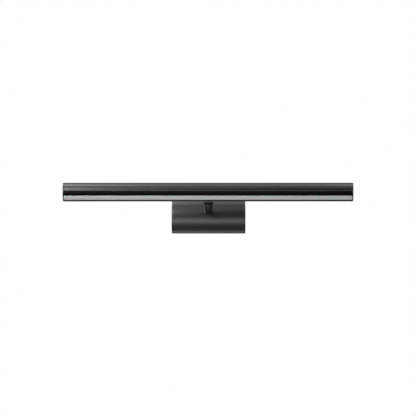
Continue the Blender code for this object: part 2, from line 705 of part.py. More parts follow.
def make_pivot_hardware():
    """The pivot screw through both halves, with a friction washer between them and a spring washer
    and a nut at the end."""
    washer_half = FRICTION_WASHER_THICKNESS / 2
    x_axis = (1, 0, 0)
    friction = turned("friction_washer", ring_profile(KNUCKLE_RADIUS - GAP, POCKET_RADIUS + GAP,
                                                      washer_half, -washer_half),
                      closed=True, start=PIVOT, axis=x_axis, steps=32)
    face = KNUCKLE_RADIUS + GAP
    nut_start = face + SPRING_WASHER_THICKNESS + GAP
    nut_end = nut_start + PIVOT_NUT_THICKNESS
    spring = turned("spring_washer", ring_profile(SPRING_WASHER_DIAMETER / 2, PIVOT_DIAMETER / 2 + GAP,
                                                  face + SPRING_WASHER_THICKNESS, face),
                    closed=True, start=PIVOT, axis=x_axis, steps=24)
    nut = hex_nut("pivot_nut", PIVOT_NUT_FLATS, PIVOT_DIAMETER / 2,
                  PIVOT + Vector((nut_start, 0, 0)), PIVOT + Vector((nut_end, 0, 0)))
    screw = machine_screw("pivot_screw", PIVOT - Vector((face, 0, 0)), x_axis, PIVOT_DIAMETER,
                          face + nut_end + PIVOT_END, PIVOT_HEAD, PIVOT_HEAD_HEIGHT)
    return [(friction, "black_rubber"), (spring, "zinc_steel"), (nut, "black_screw"),
            (screw, "black_screw")]


def make_saddle_screws():
    """Two screws through the saddle and the housing into the nut bar."""
    seat = SADDLE_BACK - GAP
    length = NUT_BAR_DEPTH + NUT_BAR_THICKNESS - seat
    return [(machine_screw(f"saddle_screw_{word}", (side * SADDLE_SCREW_X, -seat, 0), (0, -1, 0), M4,
                           length, SADDLE_SCREW_HEAD, SADDLE_SCREW_HEAD_HEIGHT), "black_screw")
            for side, word in ((-1, "left"), (1, "right"))]


# ---------------------------------------------------------------- Stem

def make_stem():
    tube = turned("stem_tube", [(STEM_BORE, TENON_FRONT), (COLLAR_BORE - GAP, TENON_FRONT),
                                (COLLAR_BORE - GAP, STEM_FRONT),
                                (STEM_RADIUS - EDGE_CHAMFER / 2, STEM_FRONT),
                                (STEM_RADIUS, STEM_FRONT - EDGE_CHAMFER / 2),
                                (STEM_RADIUS, STEM_BACK), (STEM_BORE, STEM_BACK)],
                  closed=True, steps=40)
    seat_drop = PLATE_RADIUS - math.sqrt(PLATE_RADIUS ** 2 - (FLANGE_DIAMETER / 2) ** 2)
    flange_root = FLANGE_BACK - seat_drop
    flange = turned("stem_flange", [(FLANGE_DIAMETER / 2 - EDGE_CHAMFER, FLANGE_FRONT),
                                    (FLANGE_DIAMETER / 2, FLANGE_FRONT - EDGE_CHAMFER),
                                    (FLANGE_DIAMETER / 2, flange_root), (STEM_BORE, flange_root),
                                    (STEM_BORE, FLANGE_FRONT)], closed=True, steps=40)
    bow_start = Vector((FLANGE_DIAMETER, PLATE_RADIUS - PLATE_DEPTH, 0))
    bow_end = bow_start - Vector((2 * FLANGE_DIAMETER, 0, 0))
    cut(flange, rod("flange_seat", PLATE_RADIUS + GAP, bow_start, bow_end, 360))
    collar = turned("lock_collar", ring_profile(COLLAR_DIAMETER / 2, COLLAR_BORE, COLLAR_FRONT,
                                                COLLAR_BACK, EDGE_CHAMFER), closed=True, steps=48)
    middle = (NECK_BACK + COLLAR_FRONT) / 2
    groove = NECK_RADIUS - NECK_GROOVE
    cut(collar, rod("collar_screw_hole", M4 / 2, (0, -middle, NECK_RADIUS * 0.5),
                    (0, -middle, COLLAR_DIAMETER), 20))
    screw = set_screw("collar_screw", M4 / 2 - GAP, (0, -middle, groove + GAP),
                      (0, -middle, COLLAR_DIAMETER / 2 - GAP))
    return [(tube, "satin_gunmetal"), (flange, "satin_gunmetal"), (collar, "satin_gunmetal"),
            (screw, "black_screw")]


def set_screw(name, radius, tip, end):
    """A headless screw with a hexagon socket in its end."""
    screw = rod(name, radius, tip, end, 20)
    tip, end = Vector(tip), Vector(end)
    out = (end - tip).normalized()
    cut(screw, rod(name + "_socket", radius * 0.55, end - out * radius, end + out * radius, 6))
    return screw


def make_nipple():
    """The hollow thread that holds the stem on the backplate, with its washer and nut."""
    outer = STEM_BORE - GAP
    bore = outer - NIPPLE_WALL
    back = LOCK_NUT_BACK - MM
    nipple = turned("stem_nipple", ring_profile(outer, bore, STEM_BACK + NIPPLE_REACH, back,
                                                0.3 * MM), closed=True, steps=32)
    washer = turned("lock_washer", ring_profile(LOCK_WASHER_RADIUS, STEM_BORE, LOCK_WASHER_FRONT,
                                                LOCK_WASHER_FRONT - LOCK_WASHER_THICKNESS),
                    closed=True, steps=32)
    nut = hex_nut("lock_nut", LOCK_NUT_FLATS, STEM_BORE, (0, -LOCK_NUT_BACK, 0), (0, -LOCK_NUT_FRONT, 0))
    return [(nipple, "brass"), (washer, "zinc_steel"), (nut, "brass")]


# ---------------------------------------------------------------- Backplate

def plate_section():
    """The outline of the pan's outside in depth and height, from its lower back edge to its upper."""
    half_height = PLATE_HEIGHT / 2
    reach = math.asin(half_height / PLATE_RADIUS)
    centre = PLATE_DEPTH - PLATE_RADIUS
    steps = 24
    turns = [-reach + 2 * reach * step / steps for step in range(steps + 1)]
    bow = [(centre + PLATE_RADIUS * math.cos(turn), PLATE_RADIUS * math.sin(turn)) for turn in turns]
    return [(0, -half_height)] + bow + [(0, half_height)]


def make_backplate():
    """A pan with a bowed face, open towards the wall."""
    half_width = PLATE_WIDTH / 2
    mesh = bpy.data.meshes.new("backplate")
    shape = bmesh.new()
    ends = [[shape.verts.new((x, -depth, height)) for depth, height in plate_section()]
            for x in (-half_width, half_width)]
    for left, right in zip(zip(ends[0], ends[0][1:]), zip(ends[1], ends[1][1:])):
        shape.faces.new((left[0], left[1], right[1], right[0]))
    for end in ends:
        shape.faces.new(end)
    bmesh.ops.recalc_face_normals(shape, faces=shape.faces)
    shape.to_mesh(mesh)
    shape.free()
    plate = link("backplate", mesh)
    shade_smooth(mesh)
    soften(plate, PLATE_EDGE, 3)
    wall = plate.modifiers.new("Wall", 'SOLIDIFY')
    wall.thickness = PLATE_WALL
    wall.offset = -1
    wall.use_even_offset = True
    cut(plate, rod("plate_nipple_hole", STEM_BORE, (0, -PLATE_INSIDE + MM, 0), (0, -PLATE_DEPTH - MM, 0)))
    for side, word in ((-1, "left"), (1, "right")):
        cut(plate, rod(f"plate_side_hole_{word}", M4 / 2,
                       (side * (half_width - 2 * PLATE_WALL), -SIDE_SCREW_DEPTH, 0),
                       (side * (half_width + MM), -SIDE_SCREW_DEPTH, 0), 20))
    return plate


def make_bracket():
    """A flat steel strip with a wing for the driver, a tongue for the terminal block, slots for the
    wall box's screws, and a tab at each end for the backplate's side screws."""
    half = BRACKET_HALF
    strip = BRACKET_HEIGHT / 2
    wing = DRIVER_LENGTH / 2 + DRIVER_EAR + MM
    tongue = TERMINAL_LENGTH / 2 + 3 * MM
    front = -BRACKET_THICKNESS
    bracket = box("wall_bracket", (-half, front, -strip), (half, 0, strip))
    join(bracket,
         box("bracket_wing", (-wing, front, strip / 2), (wing, 0, DRIVER_BASE + DRIVER_HEIGHT)),
         box("bracket_tongue", (-tongue, front, TERMINAL_TOP - TERMINAL_HEIGHT - MM),
             (tongue, 0, -strip / 2)))
    for side in (-1, 1):
        slot = rounded_slot((side * SLOT_SPACING / 2, 0), SLOT_LENGTH, SLOT_WIDTH)
        cut(bracket, extruded(f"bracket_slot_{side}", [slot], -MM, BRACKET_THICKNESS + MM, FLAT))
    screw_places = [(side * DRIVER_SCREW_X, DRIVER_MIDDLE, M3) for side in (-1, 1)]
    screw_places += [(0, TERMINAL_MIDDLE, M3), (*GROUND_SCREW, M4)]
    for index, (x, z, diameter) in enumerate(screw_places):
        cut(bracket, rod(f"bracket_hole_{index}", diameter / 2, (x, MM, z), (x, front - MM, z), 16))
    tab_depth = SIDE_SCREW_DEPTH + TAB_HEIGHT / 2 - MM
    tab_outside = half - BEND_STEP
    for side, word in ((-1, "left"), (1, "right")):
        ends = sorted((side * tab_outside, side * (tab_outside - BRACKET_THICKNESS)))
        tab = box(f"bracket_tab_{word}", (ends[0], -tab_depth, -TAB_HEIGHT / 2),
                  (ends[1], -BRACKET_THICKNESS / 2, TAB_HEIGHT / 2))
        join(bracket, tab)
        cut(bracket, rod(f"tab_hole_{word}", M4 / 2,
                         (side * (half - 2 * BRACKET_THICKNESS), -SIDE_SCREW_DEPTH, 0),
                         (side * (half + MM), -SIDE_SCREW_DEPTH, 0), 20))
    return bracket


def bracket_screw(name, seat):
    """An M3 screw that runs through a piece into the bracket."""
    return machine_screw(name, seat, (0, 1, 0), M3, -seat[1] - SCREW_RECESS, SCREW_HEAD,
                         SCREW_HEAD_HEIGHT)


def make_driver():
    """The LED driver's case, with a fixing ear at each end."""
    half = DRIVER_LENGTH / 2
    top = ON_BRACKET + DRIVER_THICKNESS
    driver = box("led_driver", (-half, -top, DRIVER_BASE),
                 (half, -ON_BRACKET, DRIVER_BASE + DRIVER_HEIGHT))
    soften(driver, 0.8 * MM, 1)
    ear_end = half + DRIVER_EAR
    ears = box("driver_ears", (-ear_end, -(ON_BRACKET + EAR_THICKNESS), DRIVER_BASE + EAR_INSET),
               (ear_end, -ON_BRACKET, DRIVER_BASE + DRIVER_HEIGHT - EAR_INSET))
    join(driver, ears)
    pieces = [(driver, "white_plastic")]
    for side, word in ((-1, "left"), (1, "right")):
        x = side * DRIVER_SCREW_X
        seat = ON_BRACKET + EAR_THICKNESS + GAP
        cut(driver, rod(f"driver_ear_hole_{word}", M3 / 2, (x, 0, DRIVER_MIDDLE),
                        (x, -seat, DRIVER_MIDDLE), 16))
        pieces.append((bracket_screw(f"driver_screw_{word}", (x, -seat, DRIVER_MIDDLE)), "zinc_steel"))
    return pieces


def make_terminal_block():
    """Three ways, each with a wire hole in its upper edge and a clamp screw's well in its face."""
    half = TERMINAL_LENGTH / 2
    top = ON_BRACKET + TERMINAL_THICKNESS
    block = box("terminal_block", (-half, -top, TERMINAL_TOP - TERMINAL_HEIGHT),
                (half, -ON_BRACKET, TERMINAL_TOP))
    soften(block, 0.6 * MM, 1)
    for index, x in enumerate((-TERMINAL_PITCH, 0, TERMINAL_PITCH)):
        cut(block, rod(f"terminal_wire_hole_{index}", LEAD_DIAMETER / 2 + GAP,
                       (x, -LEAD_DEPTH, TERMINAL_TOP + MM),
                       (x, -LEAD_DEPTH, TERMINAL_TOP - TERMINAL_ENTRY), 16))
        if x:
            well = TERMINAL_MIDDLE - 1.5 * MM
            cut(block, rod(f"terminal_well_{index}", 1.8 * MM, (x, -top - MM, well),
                           (x, -top + 2 * MM, well), 16))
    floor = ON_BRACKET + TERMINAL_FLOOR
    cut(block, rod("terminal_screw_hole", M3 / 2, (0, 0, TERMINAL_MIDDLE),
                   (0, -floor - MM, TERMINAL_MIDDLE), 16))
    cut(block, rod("terminal_screw_well", SCREW_HEAD / 2 + GAP, (0, -floor, TERMINAL_MIDDLE),
                   (0, -top - MM, TERMINAL_MIDDLE), 20))
    screw = bracket_screw("terminal_screw", (0, -(floor + GAP), TERMINAL_MIDDLE))
    return [(block, "white_plastic"), (screw, "zinc_steel")]


def make_ground_screw():
    x, z = GROUND_SCREW
    return machine_screw("ground_screw", (x, -ON_BRACKET, z), (0, 1, 0), M4, ON_BRACKET - SCREW_RECESS,
                         GROUND_SCREW_HEAD, GROUND_SCREW_HEAD_HEIGHT)


def make_plate_leads():
    """Live and neutral from the terminal block to the driver, and ground to the terminal block."""
    pieces = []
    entry = TERMINAL_TOP - TERMINAL_ENTRY + GAP
    driver_edge = DRIVER_BASE - GAP
    for name, start, end, paint in (("live_lead", -TERMINAL_PITCH, -25 * MM, "black_wire"),
                                    ("neutral_lead", 0, -19 * MM, "white_wire")):
        points = [(start, -LEAD_DEPTH, entry), (start, -LEAD_DEPTH, TERMINAL_TOP),
                  (start, -LEAD_DEPTH, TERMINAL_TOP + 2 * MM),
                  ((start + end) / 2, -LEAD_DEPTH + MM, TERMINAL_TOP + 8 * MM),
                  (end, -LEAD_DEPTH, -2 * MM), (end, -LEAD_DEPTH, DRIVER_BASE - 6 * MM),
                  (end, -LEAD_DEPTH, driver_edge)]
        pieces.append((wire(name, LEAD_DIAMETER, points), paint))
    x, z = GROUND_SCREW
    head = ON_BRACKET + GROUND_SCREW_HEAD_HEIGHT + GAP + LEAD_DIAMETER / 2
    ground = wire("ground_wire", LEAD_DIAMETER, [
        (x, -head, z), (x - 6 * MM, -head, z + MM), (TERMINAL_PITCH + 4 * MM, -LEAD_DEPTH, z - 2 * MM),
        (TERMINAL_PITCH, -LEAD_DEPTH, TERMINAL_TOP + 3 * MM),
        (TERMINAL_PITCH, -LEAD_DEPTH, TERMINAL_TOP), (TERMINAL_PITCH, -LEAD_DEPTH, entry)])
    pieces.append((ground, "green_wire"))
    return pieces


def make_output_lead():
    """From the driver, forward through the nipple and the stem, to the neck of the knuckle."""
    turn_depth = ON_BRACKET + CORD_DIAMETER / 2 + GAP
    x = 13 * MM
    return wire("output_lead", CORD_DIAMETER, [
        (x, -LEAD_DEPTH, DRIVER_BASE - GAP), (x, -LEAD_DEPTH, DRIVER_BASE - 1.5 * MM),
        (x, -LEAD_DEPTH + MM, DRIVER_BASE - 5 * MM),
        (x - 3 * MM, -turn_depth, 4 * MM), (4 * MM, -turn_depth, 0.5 * MM),
        (0.6 * MM, -(turn_depth + 1.8 * MM), 0), (0, -(turn_depth + 6 * MM), 0),
        (0, -(LOCK_NUT_BACK + MM), 0), (0, -PLATE_DEPTH, 0), (0, -(COLLAR_BACK + COLLAR_LENGTH / 2), 0)])


def make_side_screws():
    """Headless screws that lie flush in the ends of the backplate and run through the tabs."""
    end = PLATE_WIDTH / 2 - GAP
    return [(set_screw(f"side_screw_{word}", M4 / 2 - GAP,
                       (side * (end - SIDE_SCREW_LENGTH), -SIDE_SCREW_DEPTH, 0),
                       (side * end, -SIDE_SCREW_DEPTH, 0)), "black_screw")
            for side, word in ((-1, "left"), (1, "right"))]


# ---------------------------------------------------------------- Assembly

def make_axis(name, place, parent=None):
    """An empty on a joint's axis, which its pieces are parented to."""
    empty = bpy.data.objects.new(name, None)
    empty.empty_display_size = 0.02
    PARTS.objects.link(empty)
    empty.matrix_world = Matrix.Translation(place)
    if parent:
        empty.parent = parent
        empty.matrix_parent_inverse = parent.matrix_world.inverted()
    return empty


def assemble(pieces, parent=None, place=None):
    """Give each piece its material and, where it moves, its joint's empty as parent."""
    for obj, paint in pieces:
        obj.data.materials.clear()
        obj.data.materials.append(MATERIALS[paint])
        if parent:
            obj.parent = parent
            obj.matrix_parent_inverse = Matrix.Translation(place).inverted()


def build():
    level_place = Vector((0, -COLLAR_BACK, 0))
    level_axis = make_axis("bar_level_axis", level_place)
    tilt_axis = make_axis("bar_tilt_axis", PIVOT, level_axis)

    wall_side = [(make_backplate(), "satin_gunmetal"), (make_bracket(), "zinc_steel"),
                 (make_ground_screw(), "green_wire"), (make_output_lead(), "white_wire")]
    wall_side += make_side_screws() + make_driver() + make_terminal_block() + make_plate_leads()
    wall_side += make_nipple() + make_stem()
    assemble(wall_side)

    swivel = [(make_rear_knuckle(), "satin_gunmetal")] + make_pivot_hardware()
    assemble(swivel, level_axis, level_place)

    bar = [(make_front_knuckle(), "satin_gunmetal"), (make_nut_bar(), "zinc_steel"),
           (make_grommet(), "black_rubber"), (make_housing(), "satin_gunmetal"),
           (make_carrier(), "black_aluminium"), (make_board(), "board_white"),
           (make_lens(), "opal_lens"), (make_bar_lead(), "white_wire")]
    bar += make_saddle_screws() + make_end(-1, "left") + make_end(1, "right")
    assemble(bar, tilt_axis, PIVOT)


build()
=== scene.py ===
"""The looks of the vanity light bar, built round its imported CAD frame.

The wall is the plane y = 0, the light stands out from it along -Y, +X runs along the bar and +Z is
up. Every place comes from the CAD nodes' boxes.
"""
import math

import bmesh
import bpy
from mathutils import Matrix, Vector


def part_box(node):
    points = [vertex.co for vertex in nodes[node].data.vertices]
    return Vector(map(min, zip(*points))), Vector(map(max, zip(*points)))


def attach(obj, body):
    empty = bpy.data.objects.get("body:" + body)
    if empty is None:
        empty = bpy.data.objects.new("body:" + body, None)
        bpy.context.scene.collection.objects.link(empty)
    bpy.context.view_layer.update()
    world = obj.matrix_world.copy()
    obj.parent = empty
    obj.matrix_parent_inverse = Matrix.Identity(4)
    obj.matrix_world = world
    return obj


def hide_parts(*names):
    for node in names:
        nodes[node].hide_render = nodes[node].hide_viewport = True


MM = 0.001
TAU = math.tau
GAP = 0.3 * MM

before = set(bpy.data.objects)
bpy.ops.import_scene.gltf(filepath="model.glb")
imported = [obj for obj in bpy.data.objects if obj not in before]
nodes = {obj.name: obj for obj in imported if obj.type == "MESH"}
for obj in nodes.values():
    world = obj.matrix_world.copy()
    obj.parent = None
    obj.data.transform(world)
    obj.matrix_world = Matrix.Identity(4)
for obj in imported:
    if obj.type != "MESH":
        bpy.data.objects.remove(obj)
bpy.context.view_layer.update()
scene = bpy.context.scene


# ---------------------------------------------------------------- Places, from the CAD

def middle(node):
    low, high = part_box(node)
    return (low + high) / 2


def size(node):
    low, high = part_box(node)
    return high - low


def depth_range(node):
    """How far from the wall a node starts and ends."""
    low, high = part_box(node)
    return -high.y, -low.y


BAR = middle("end_cap_right")
BAR.x = 0.0
BAR_RADIUS = size("end_cap_right").z / 2
BAR_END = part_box("end_cap_right")[1].x
CAP_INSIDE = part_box("end_cap_right")[0].x
EXTRUSION_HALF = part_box("bar_housing")[1].x
PIVOT = middle("friction_washer")
KNUCKLE_RADIUS = size("knuckle_rear").z / 2

# ---- More of the CAD's sizes. Bores and holes are radii ----
PLATE_WALL = 1.5 * MM
PLATE_BOW = 13 * MM                    # from the plate's long edges to the middle of its face
PLATE_HALF = size("backplate").z / 2
PLATE_FRONT = depth_range("backplate")[1]
PLATE_RADIUS = (PLATE_HALF ** 2 + PLATE_BOW ** 2) / (2 * PLATE_BOW)
PLATE_CENTRE = PLATE_FRONT - PLATE_RADIUS
STEM_BORE = 5.3 * MM
NECK_RADIUS = 7.0 * MM
SPIGOT_RADIUS = 5.0 * MM
WIRE_BORE = 3 * MM
WIRE_HOLE = 4.0 * MM                   # through the bar's cover
KNUCKLE_FACE = size("friction_washer").x / 2 + GAP
KNUCKLE_WALL = 2 * MM
POCKET_RADIUS = KNUCKLE_RADIUS - 3 * MM
SADDLE_BACK = -PIVOT.y + KNUCKLE_RADIUS + 0.5 * MM
SADDLE_HALF_HEIGHT = 9.0 * MM
M3_HOLE = 1.5 * MM
M4_TAPPED = 2.0 * MM
M4_HOLE = 2.3 * MM
NUT_FLATS = 7 * MM                     # of the pivot's nut
LOCK_NUT_FLATS = 14 * MM
CAP_SCREW_LENGTH = 12 * MM
CAP_SCREW_HEAD = 0.85 * MM             # heights of the heads
SADDLE_SCREW_HEAD = 2 * MM
PIVOT_SCREW_HEAD = 2.2 * MM

# ---- Thread forms, sockets and edges, which only the looks have ----
M3_SHANK = 1.2 * MM
M4_SHANK = 1.7 * MM
M3_SOCKET = 2.0 * MM
M4_SOCKET = 3 * MM
M3_PITCH = 0.5 * MM
M4_PITCH = 0.7 * MM
NIPPLE_PITCH = 0.8 * MM
TURNED_EDGE = 0.8 * MM                 # of the caps, the flange and the collar

# ---- The bar's section, as the CAD has it ----
LENS_TILT = math.radians(62)
LENS_HALF_ANGLE = math.radians(17.3)
OPENING = math.radians(47.6)
HOUSING_WALL = 1.6 * MM
BORE = BAR_RADIUS - HOUSING_WALL
RAIL_RADIUS = BORE - GAP
BAND_RADIUS = BAR_RADIUS - GAP
CARRIER_LIP = 1.2 * MM
CARRIER_WALL = 1.7 * MM
FOOT_THICKNESS = 1.5 * MM
FOOT_WIDTH = 1.6 * MM
LENS_THICKNESS = 2.2 * MM
WEB = 2.0 * MM
CHANNEL_X = 7.0 * MM
CHANNEL_DROP = 1.8 * MM
CHANNEL_RADIUS = 3.0 * MM

LENS_AXIS = Vector((0, -math.cos(LENS_TILT), -math.sin(LENS_TILT)))
ACROSS = Vector((0, -math.sin(LENS_TILT), math.cos(LENS_TILT)))


def section(x, across, along):
    """A point from its place along the bar and in the bar's section."""
    return BAR + Vector((x, 0, 0)) + ACROSS * across + LENS_AXIS * along


# ---------------------------------------------------------------- Materials

class Shader:
    """A Principled material and the few nodes that its pattern needs."""

    def __init__(self, name, roughness, metallic=0.0, **sockets):
        self.material = bpy.data.materials.new(name)
        self.material.use_nodes = True
        self.tree = self.material.node_tree
        self.surface = self.tree.nodes["Principled BSDF"]
        self.set(self.surface, Roughness=roughness, Metallic=metallic)
        for label, value in sockets.items():
            self.surface.inputs[label.replace("_", " ")].default_value = value
        self.place = self.tree.nodes.new("ShaderNodeTexCoord").outputs["Object"]

    def set(self, node, **values):
        for label, value in values.items():
            node.inputs[label].default_value = value
        return node

    def link(self, source, target):
        self.tree.links.new(source, target)

    def stretched(self, scale):
        mapping = self.tree.nodes.new("ShaderNodeMapping")
        mapping.inputs["Scale"].default_value = scale
        self.link(self.place, mapping.inputs["Vector"])
        return mapping.outputs["Vector"]

    def noise(self, scale, detail=3.0, stretch=None):
        node = self.tree.nodes.new("ShaderNodeTexNoise")
        self.set(node, Scale=scale, Detail=detail)
        self.link(self.stretched(stretch) if stretch else self.place, node.inputs["Vector"])
        return node.outputs["Fac"]

    def cells(self, scale):
        node = self.tree.nodes.new("ShaderNodeTexVoronoi")
        self.set(node, Scale=scale)
        self.link(self.place, node.inputs["Vector"])
        return node.outputs["Color"]

    def spread(self, value, low, high, start=0.3, end=0.7):
        node = self.tree.nodes.new("ShaderNodeMapRange")
        self.link(value, node.inputs["Value"])
        for label, number in (("From Min", start), ("From Max", end), ("To Min", low), ("To Max", high)):
            node.inputs[label].default_value = number
        return node.outputs["Result"]

    def mix(self, factor, first, second):
        node = self.tree.nodes.new("ShaderNodeMix")
        node.data_type = 'RGBA'
        self.link(factor, node.inputs[0])
        for value, socket in ((first, node.inputs[6]), (second, node.inputs[7])):
            if isinstance(value, tuple):
                socket.default_value = (*value, 1)
            else:
                self.link(value, socket)
        return node.outputs[2]

    def edges(self, radius):
        """1 on sharp edges and 0 on flat surfaces."""
        worn, untouched = 0.80, 0.97
        bevel = self.tree.nodes.new("ShaderNodeBevel")
        bevel.samples = 6
        bevel.inputs["Radius"].default_value = radius
        facing = self.tree.nodes.new("ShaderNodeNewGeometry")
        dot = self.tree.nodes.new("ShaderNodeVectorMath")
        dot.operation = 'DOT_PRODUCT'
        self.link(bevel.outputs["Normal"], dot.inputs[0])
        self.link(facing.outputs["Normal"], dot.inputs[1])
        return self.spread(dot.outputs["Value"], 1.0, 0.0, worn, untouched)

    def bump(self, height, strength, distance):
        node = self.tree.nodes.new("ShaderNodeBump")
        self.set(node, Strength=strength, Distance=distance)
        self.link(height, node.inputs["Height"])
        self.link(node.outputs["Normal"], self.surface.inputs["Normal"])

    def colour(self, source):
        self.link(source, self.surface.inputs["Base Color"])

    def roughness(self, source):
        self.link(source, self.surface.inputs["Roughness"])


def satin_metal(name, dark, light, worn, rough, grain):
    """Fine bead-blasted metal with a faint drawn grain and paler edges."""
    look = Shader(name, sum(rough) / 2, metallic=1.0)
    lines = look.noise(1.0, 3.0, grain)
    cloud = look.noise(14, 3.0)
    base = look.mix(look.spread(lines, 0.0, 1.0, 0.35, 0.65), dark, light)
    base = look.mix(look.spread(cloud, 0.0, 0.4), base, tuple(0.5 * (a + b) for a, b in zip(dark, light)))
    wear = look.tree.nodes.new("ShaderNodeMath")
    wear.operation = 'MULTIPLY'
    look.link(look.edges(0.45 * MM), wear.inputs[0])
    look.link(look.spread(look.noise(160, 4.0), 0.15, 0.75, 0.35, 0.6), wear.inputs[1])
    look.colour(look.mix(wear.outputs[0], base, worn))
    look.roughness(look.spread(lines, rough[0], rough[1]))
    look.bump(look.noise(2600, 2.0), 0.08, 0.05 * MM)
    return look.material


def moulded(name, dark, light, rough, texture=1800, bump=0.2):
    """Moulded plastic, rubber or insulation with a fine spark-eroded texture."""
    look = Shader(name, sum(rough) / 2)
    cloud = look.noise(30, 3.0)
    grain = look.noise(texture, 2.0)
    look.colour(look.mix(look.spread(cloud, 0.0, 1.0), dark, light))
    look.roughness(look.spread(grain, rough[0], rough[1]))
    look.bump(grain, bump, 0.06 * MM)
    return look.material


def zinc(name):
    """Zinc-plated steel with pale and dull spangles and a cut edge."""
    look = Shader(name, 0.36, metallic=1.0)
    spangle = look.cells(190)
    tone = look.tree.nodes.new("ShaderNodeSeparateColor")
    look.link(spangle, tone.inputs["Color"])
    base = look.mix(look.spread(tone.outputs[0], 0.0, 1.0, 0.0, 1.0), (0.42, 0.43, 0.44), (0.60, 0.61, 0.61))
    base = look.mix(look.spread(look.noise(35, 4.0), 0.0, 0.55), base, (0.36, 0.36, 0.35))
    look.colour(look.mix(look.edges(0.5 * MM), base, (0.72, 0.72, 0.72)))
    look.roughness(look.spread(tone.outputs[1], 0.26, 0.46, 0.0, 1.0))
    look.bump(look.noise(900, 3.0), 0.15, 0.05 * MM)
    return look.material


def opal(name):
    """Frosted opal acrylic."""
    look = Shader(name, 0.5, Subsurface_Weight=0.25, Subsurface_Scale=0.004, Specular_IOR_Level=0.35)
    look.colour(look.mix(look.spread(look.noise(9, 3.0), 0.0, 1.0), (0.85, 0.865, 0.84), (0.88, 0.89, 0.87)))
    frost = look.noise(3200, 2.0)
    look.roughness(look.spread(frost, 0.42, 0.58))
    look.bump(frost, 0.12, 0.04 * MM)
    return look.material


GUNMETAL = satin_metal("satin_gunmetal", (0.122, 0.126, 0.119), (0.144, 0.147, 0.140),
                       (0.30, 0.30, 0.29), (0.29, 0.33), (5, 900, 900))
CAP_METAL = satin_metal("turned_gunmetal", (0.105, 0.108, 0.103), (0.140, 0.142, 0.137),
                        (0.28, 0.28, 0.27), (0.26, 0.36), (900, 120, 120))
PLATE_METAL = satin_metal("plate_gunmetal", (0.120, 0.124, 0.118), (0.138, 0.141, 0.134),
                          (0.30, 0.30, 0.29), (0.30, 0.33), (12, 900, 900))
BLACK_METAL = satin_metal("black_anodised", (0.012, 0.012, 0.0115), (0.020, 0.020, 0.019),
                          (0.06, 0.06, 0.058), (0.40, 0.52), (5, 900, 900))
BLACK_STEEL = satin_metal("black_oxide", (0.020, 0.020, 0.021), (0.038, 0.037, 0.037),
                          (0.16, 0.155, 0.15), (0.32, 0.5), (260, 260, 260))
BRASS = satin_metal("brass", (0.52, 0.38, 0.15), (0.64, 0.49, 0.22), (0.82, 0.66, 0.36),
                    (0.24, 0.42), (300, 300, 300))
ZINC = zinc("zinc_plate")
OPAL = opal("opal_acrylic")
WHITE_PLASTIC = moulded("white_polymer", (0.70, 0.70, 0.665), (0.77, 0.77, 0.745), (0.42, 0.56))
RUBBER = moulded("black_elastomer", (0.014, 0.014, 0.014), (0.026, 0.026, 0.026), (0.7, 0.9), 1200, 0.3)
BLACK_PVC = moulded("black_pvc", (0.016, 0.016, 0.017), (0.03, 0.03, 0.03), (0.36, 0.5), 1500, 0.1)
WHITE_PVC = moulded("white_pvc", (0.66, 0.66, 0.63), (0.76, 0.76, 0.74), (0.36, 0.5), 1500, 0.1)
GREEN_PVC = moulded("green_pvc", (0.018, 0.20, 0.05), (0.03, 0.27, 0.08), (0.36, 0.5), 1500, 0.1)
GREEN_STEEL = satin_metal("green_passivated", (0.04, 0.22, 0.09), (0.06, 0.30, 0.13),
                          (0.5, 0.55, 0.5), (0.3, 0.45), (240, 240, 240))
BOARD_WHITE = moulded("solder_mask", (0.74, 0.75, 0.74), (0.82, 0.82, 0.80), (0.3, 0.45), 900, 0.1)


# ---------------------------------------------------------------- Shape makers

SHARP_ANGLE = math.radians(32)         # edges sharper than this stay sharp in the shading
MERGE = 0.001 * MM


def finish_mesh(name, shape):
    bmesh.ops.remove_doubles(shape, verts=shape.verts, dist=MERGE)
    bmesh.ops.recalc_face_normals(shape, faces=shape.faces)
    mesh = bpy.data.meshes.new(name)
    shape.to_mesh(mesh)
    shape.free()
    mesh.shade_smooth()
    mesh.set_sharp_from_angle(angle=SHARP_ANGLE)
    obj = bpy.data.objects.new(name, mesh)
    scene.collection.objects.link(obj)
    return obj


def skin(name, rings, closed=False, ends=False):
    """A mesh over rings of points. A ring of one point is a tip."""
    shape = bmesh.new()
    made = [[shape.verts.new(point) for point in ring] for ring in rings]
    pairs = list(zip(made, made[1:])) + ([(made[-1], made[0])] if closed else [])
    for first, second in pairs:
        count = max(len(first), len(second))
        for index in range(count):
            after = (index + 1) % count
            corners = [first[index % len(first)], first[after % len(first)],
                       second[after % len(second)], second[index % len(second)]]
            shape.faces.new(list(dict.fromkeys(corners)))
    if ends:
        shape.faces.new(made[0])
        shape.faces.new(made[-1])
    return finish_mesh(name, shape)


def filleted(points, radii, steps=5, closed=False):
    """A polyline with its corners rounded. There is a radius for each corner, and 0 keeps it."""
    count = len(points)
    made = []
    for index, point in enumerate(points):
        radius = radii[index]
        at_end = not closed and index in (0, count - 1)
        if at_end or not radius:
            made.append(tuple(point))
            continue
        here = Vector(point)
        before = Vector(points[index - 1]) - here
        after = Vector(points[(index + 1) % count]) - here
        half = before.angle(after) / 2
        reach = min(radius / math.tan(half), before.length * 0.49, after.length * 0.49)
        start, end = here + before.normalized() * reach, here + after.normalized() * reach
        centre = here + (before.normalized() + after.normalized()).normalized() * (reach / math.cos(half))
        a, b = start - centre, end - centre
        sweep = a.angle(b)
        for step in range(steps + 1):
            share = step / steps
            arm = (a * math.sin((1 - share) * sweep) + b * math.sin(share * sweep)) / math.sin(sweep)
            made.append(tuple(centre + arm))
    return made


def axis_frame(centre, axis):
    turn = Vector(axis).to_track_quat('Z', 'Y').to_matrix().to_4x4()
    return Matrix.Translation(centre) @ turn


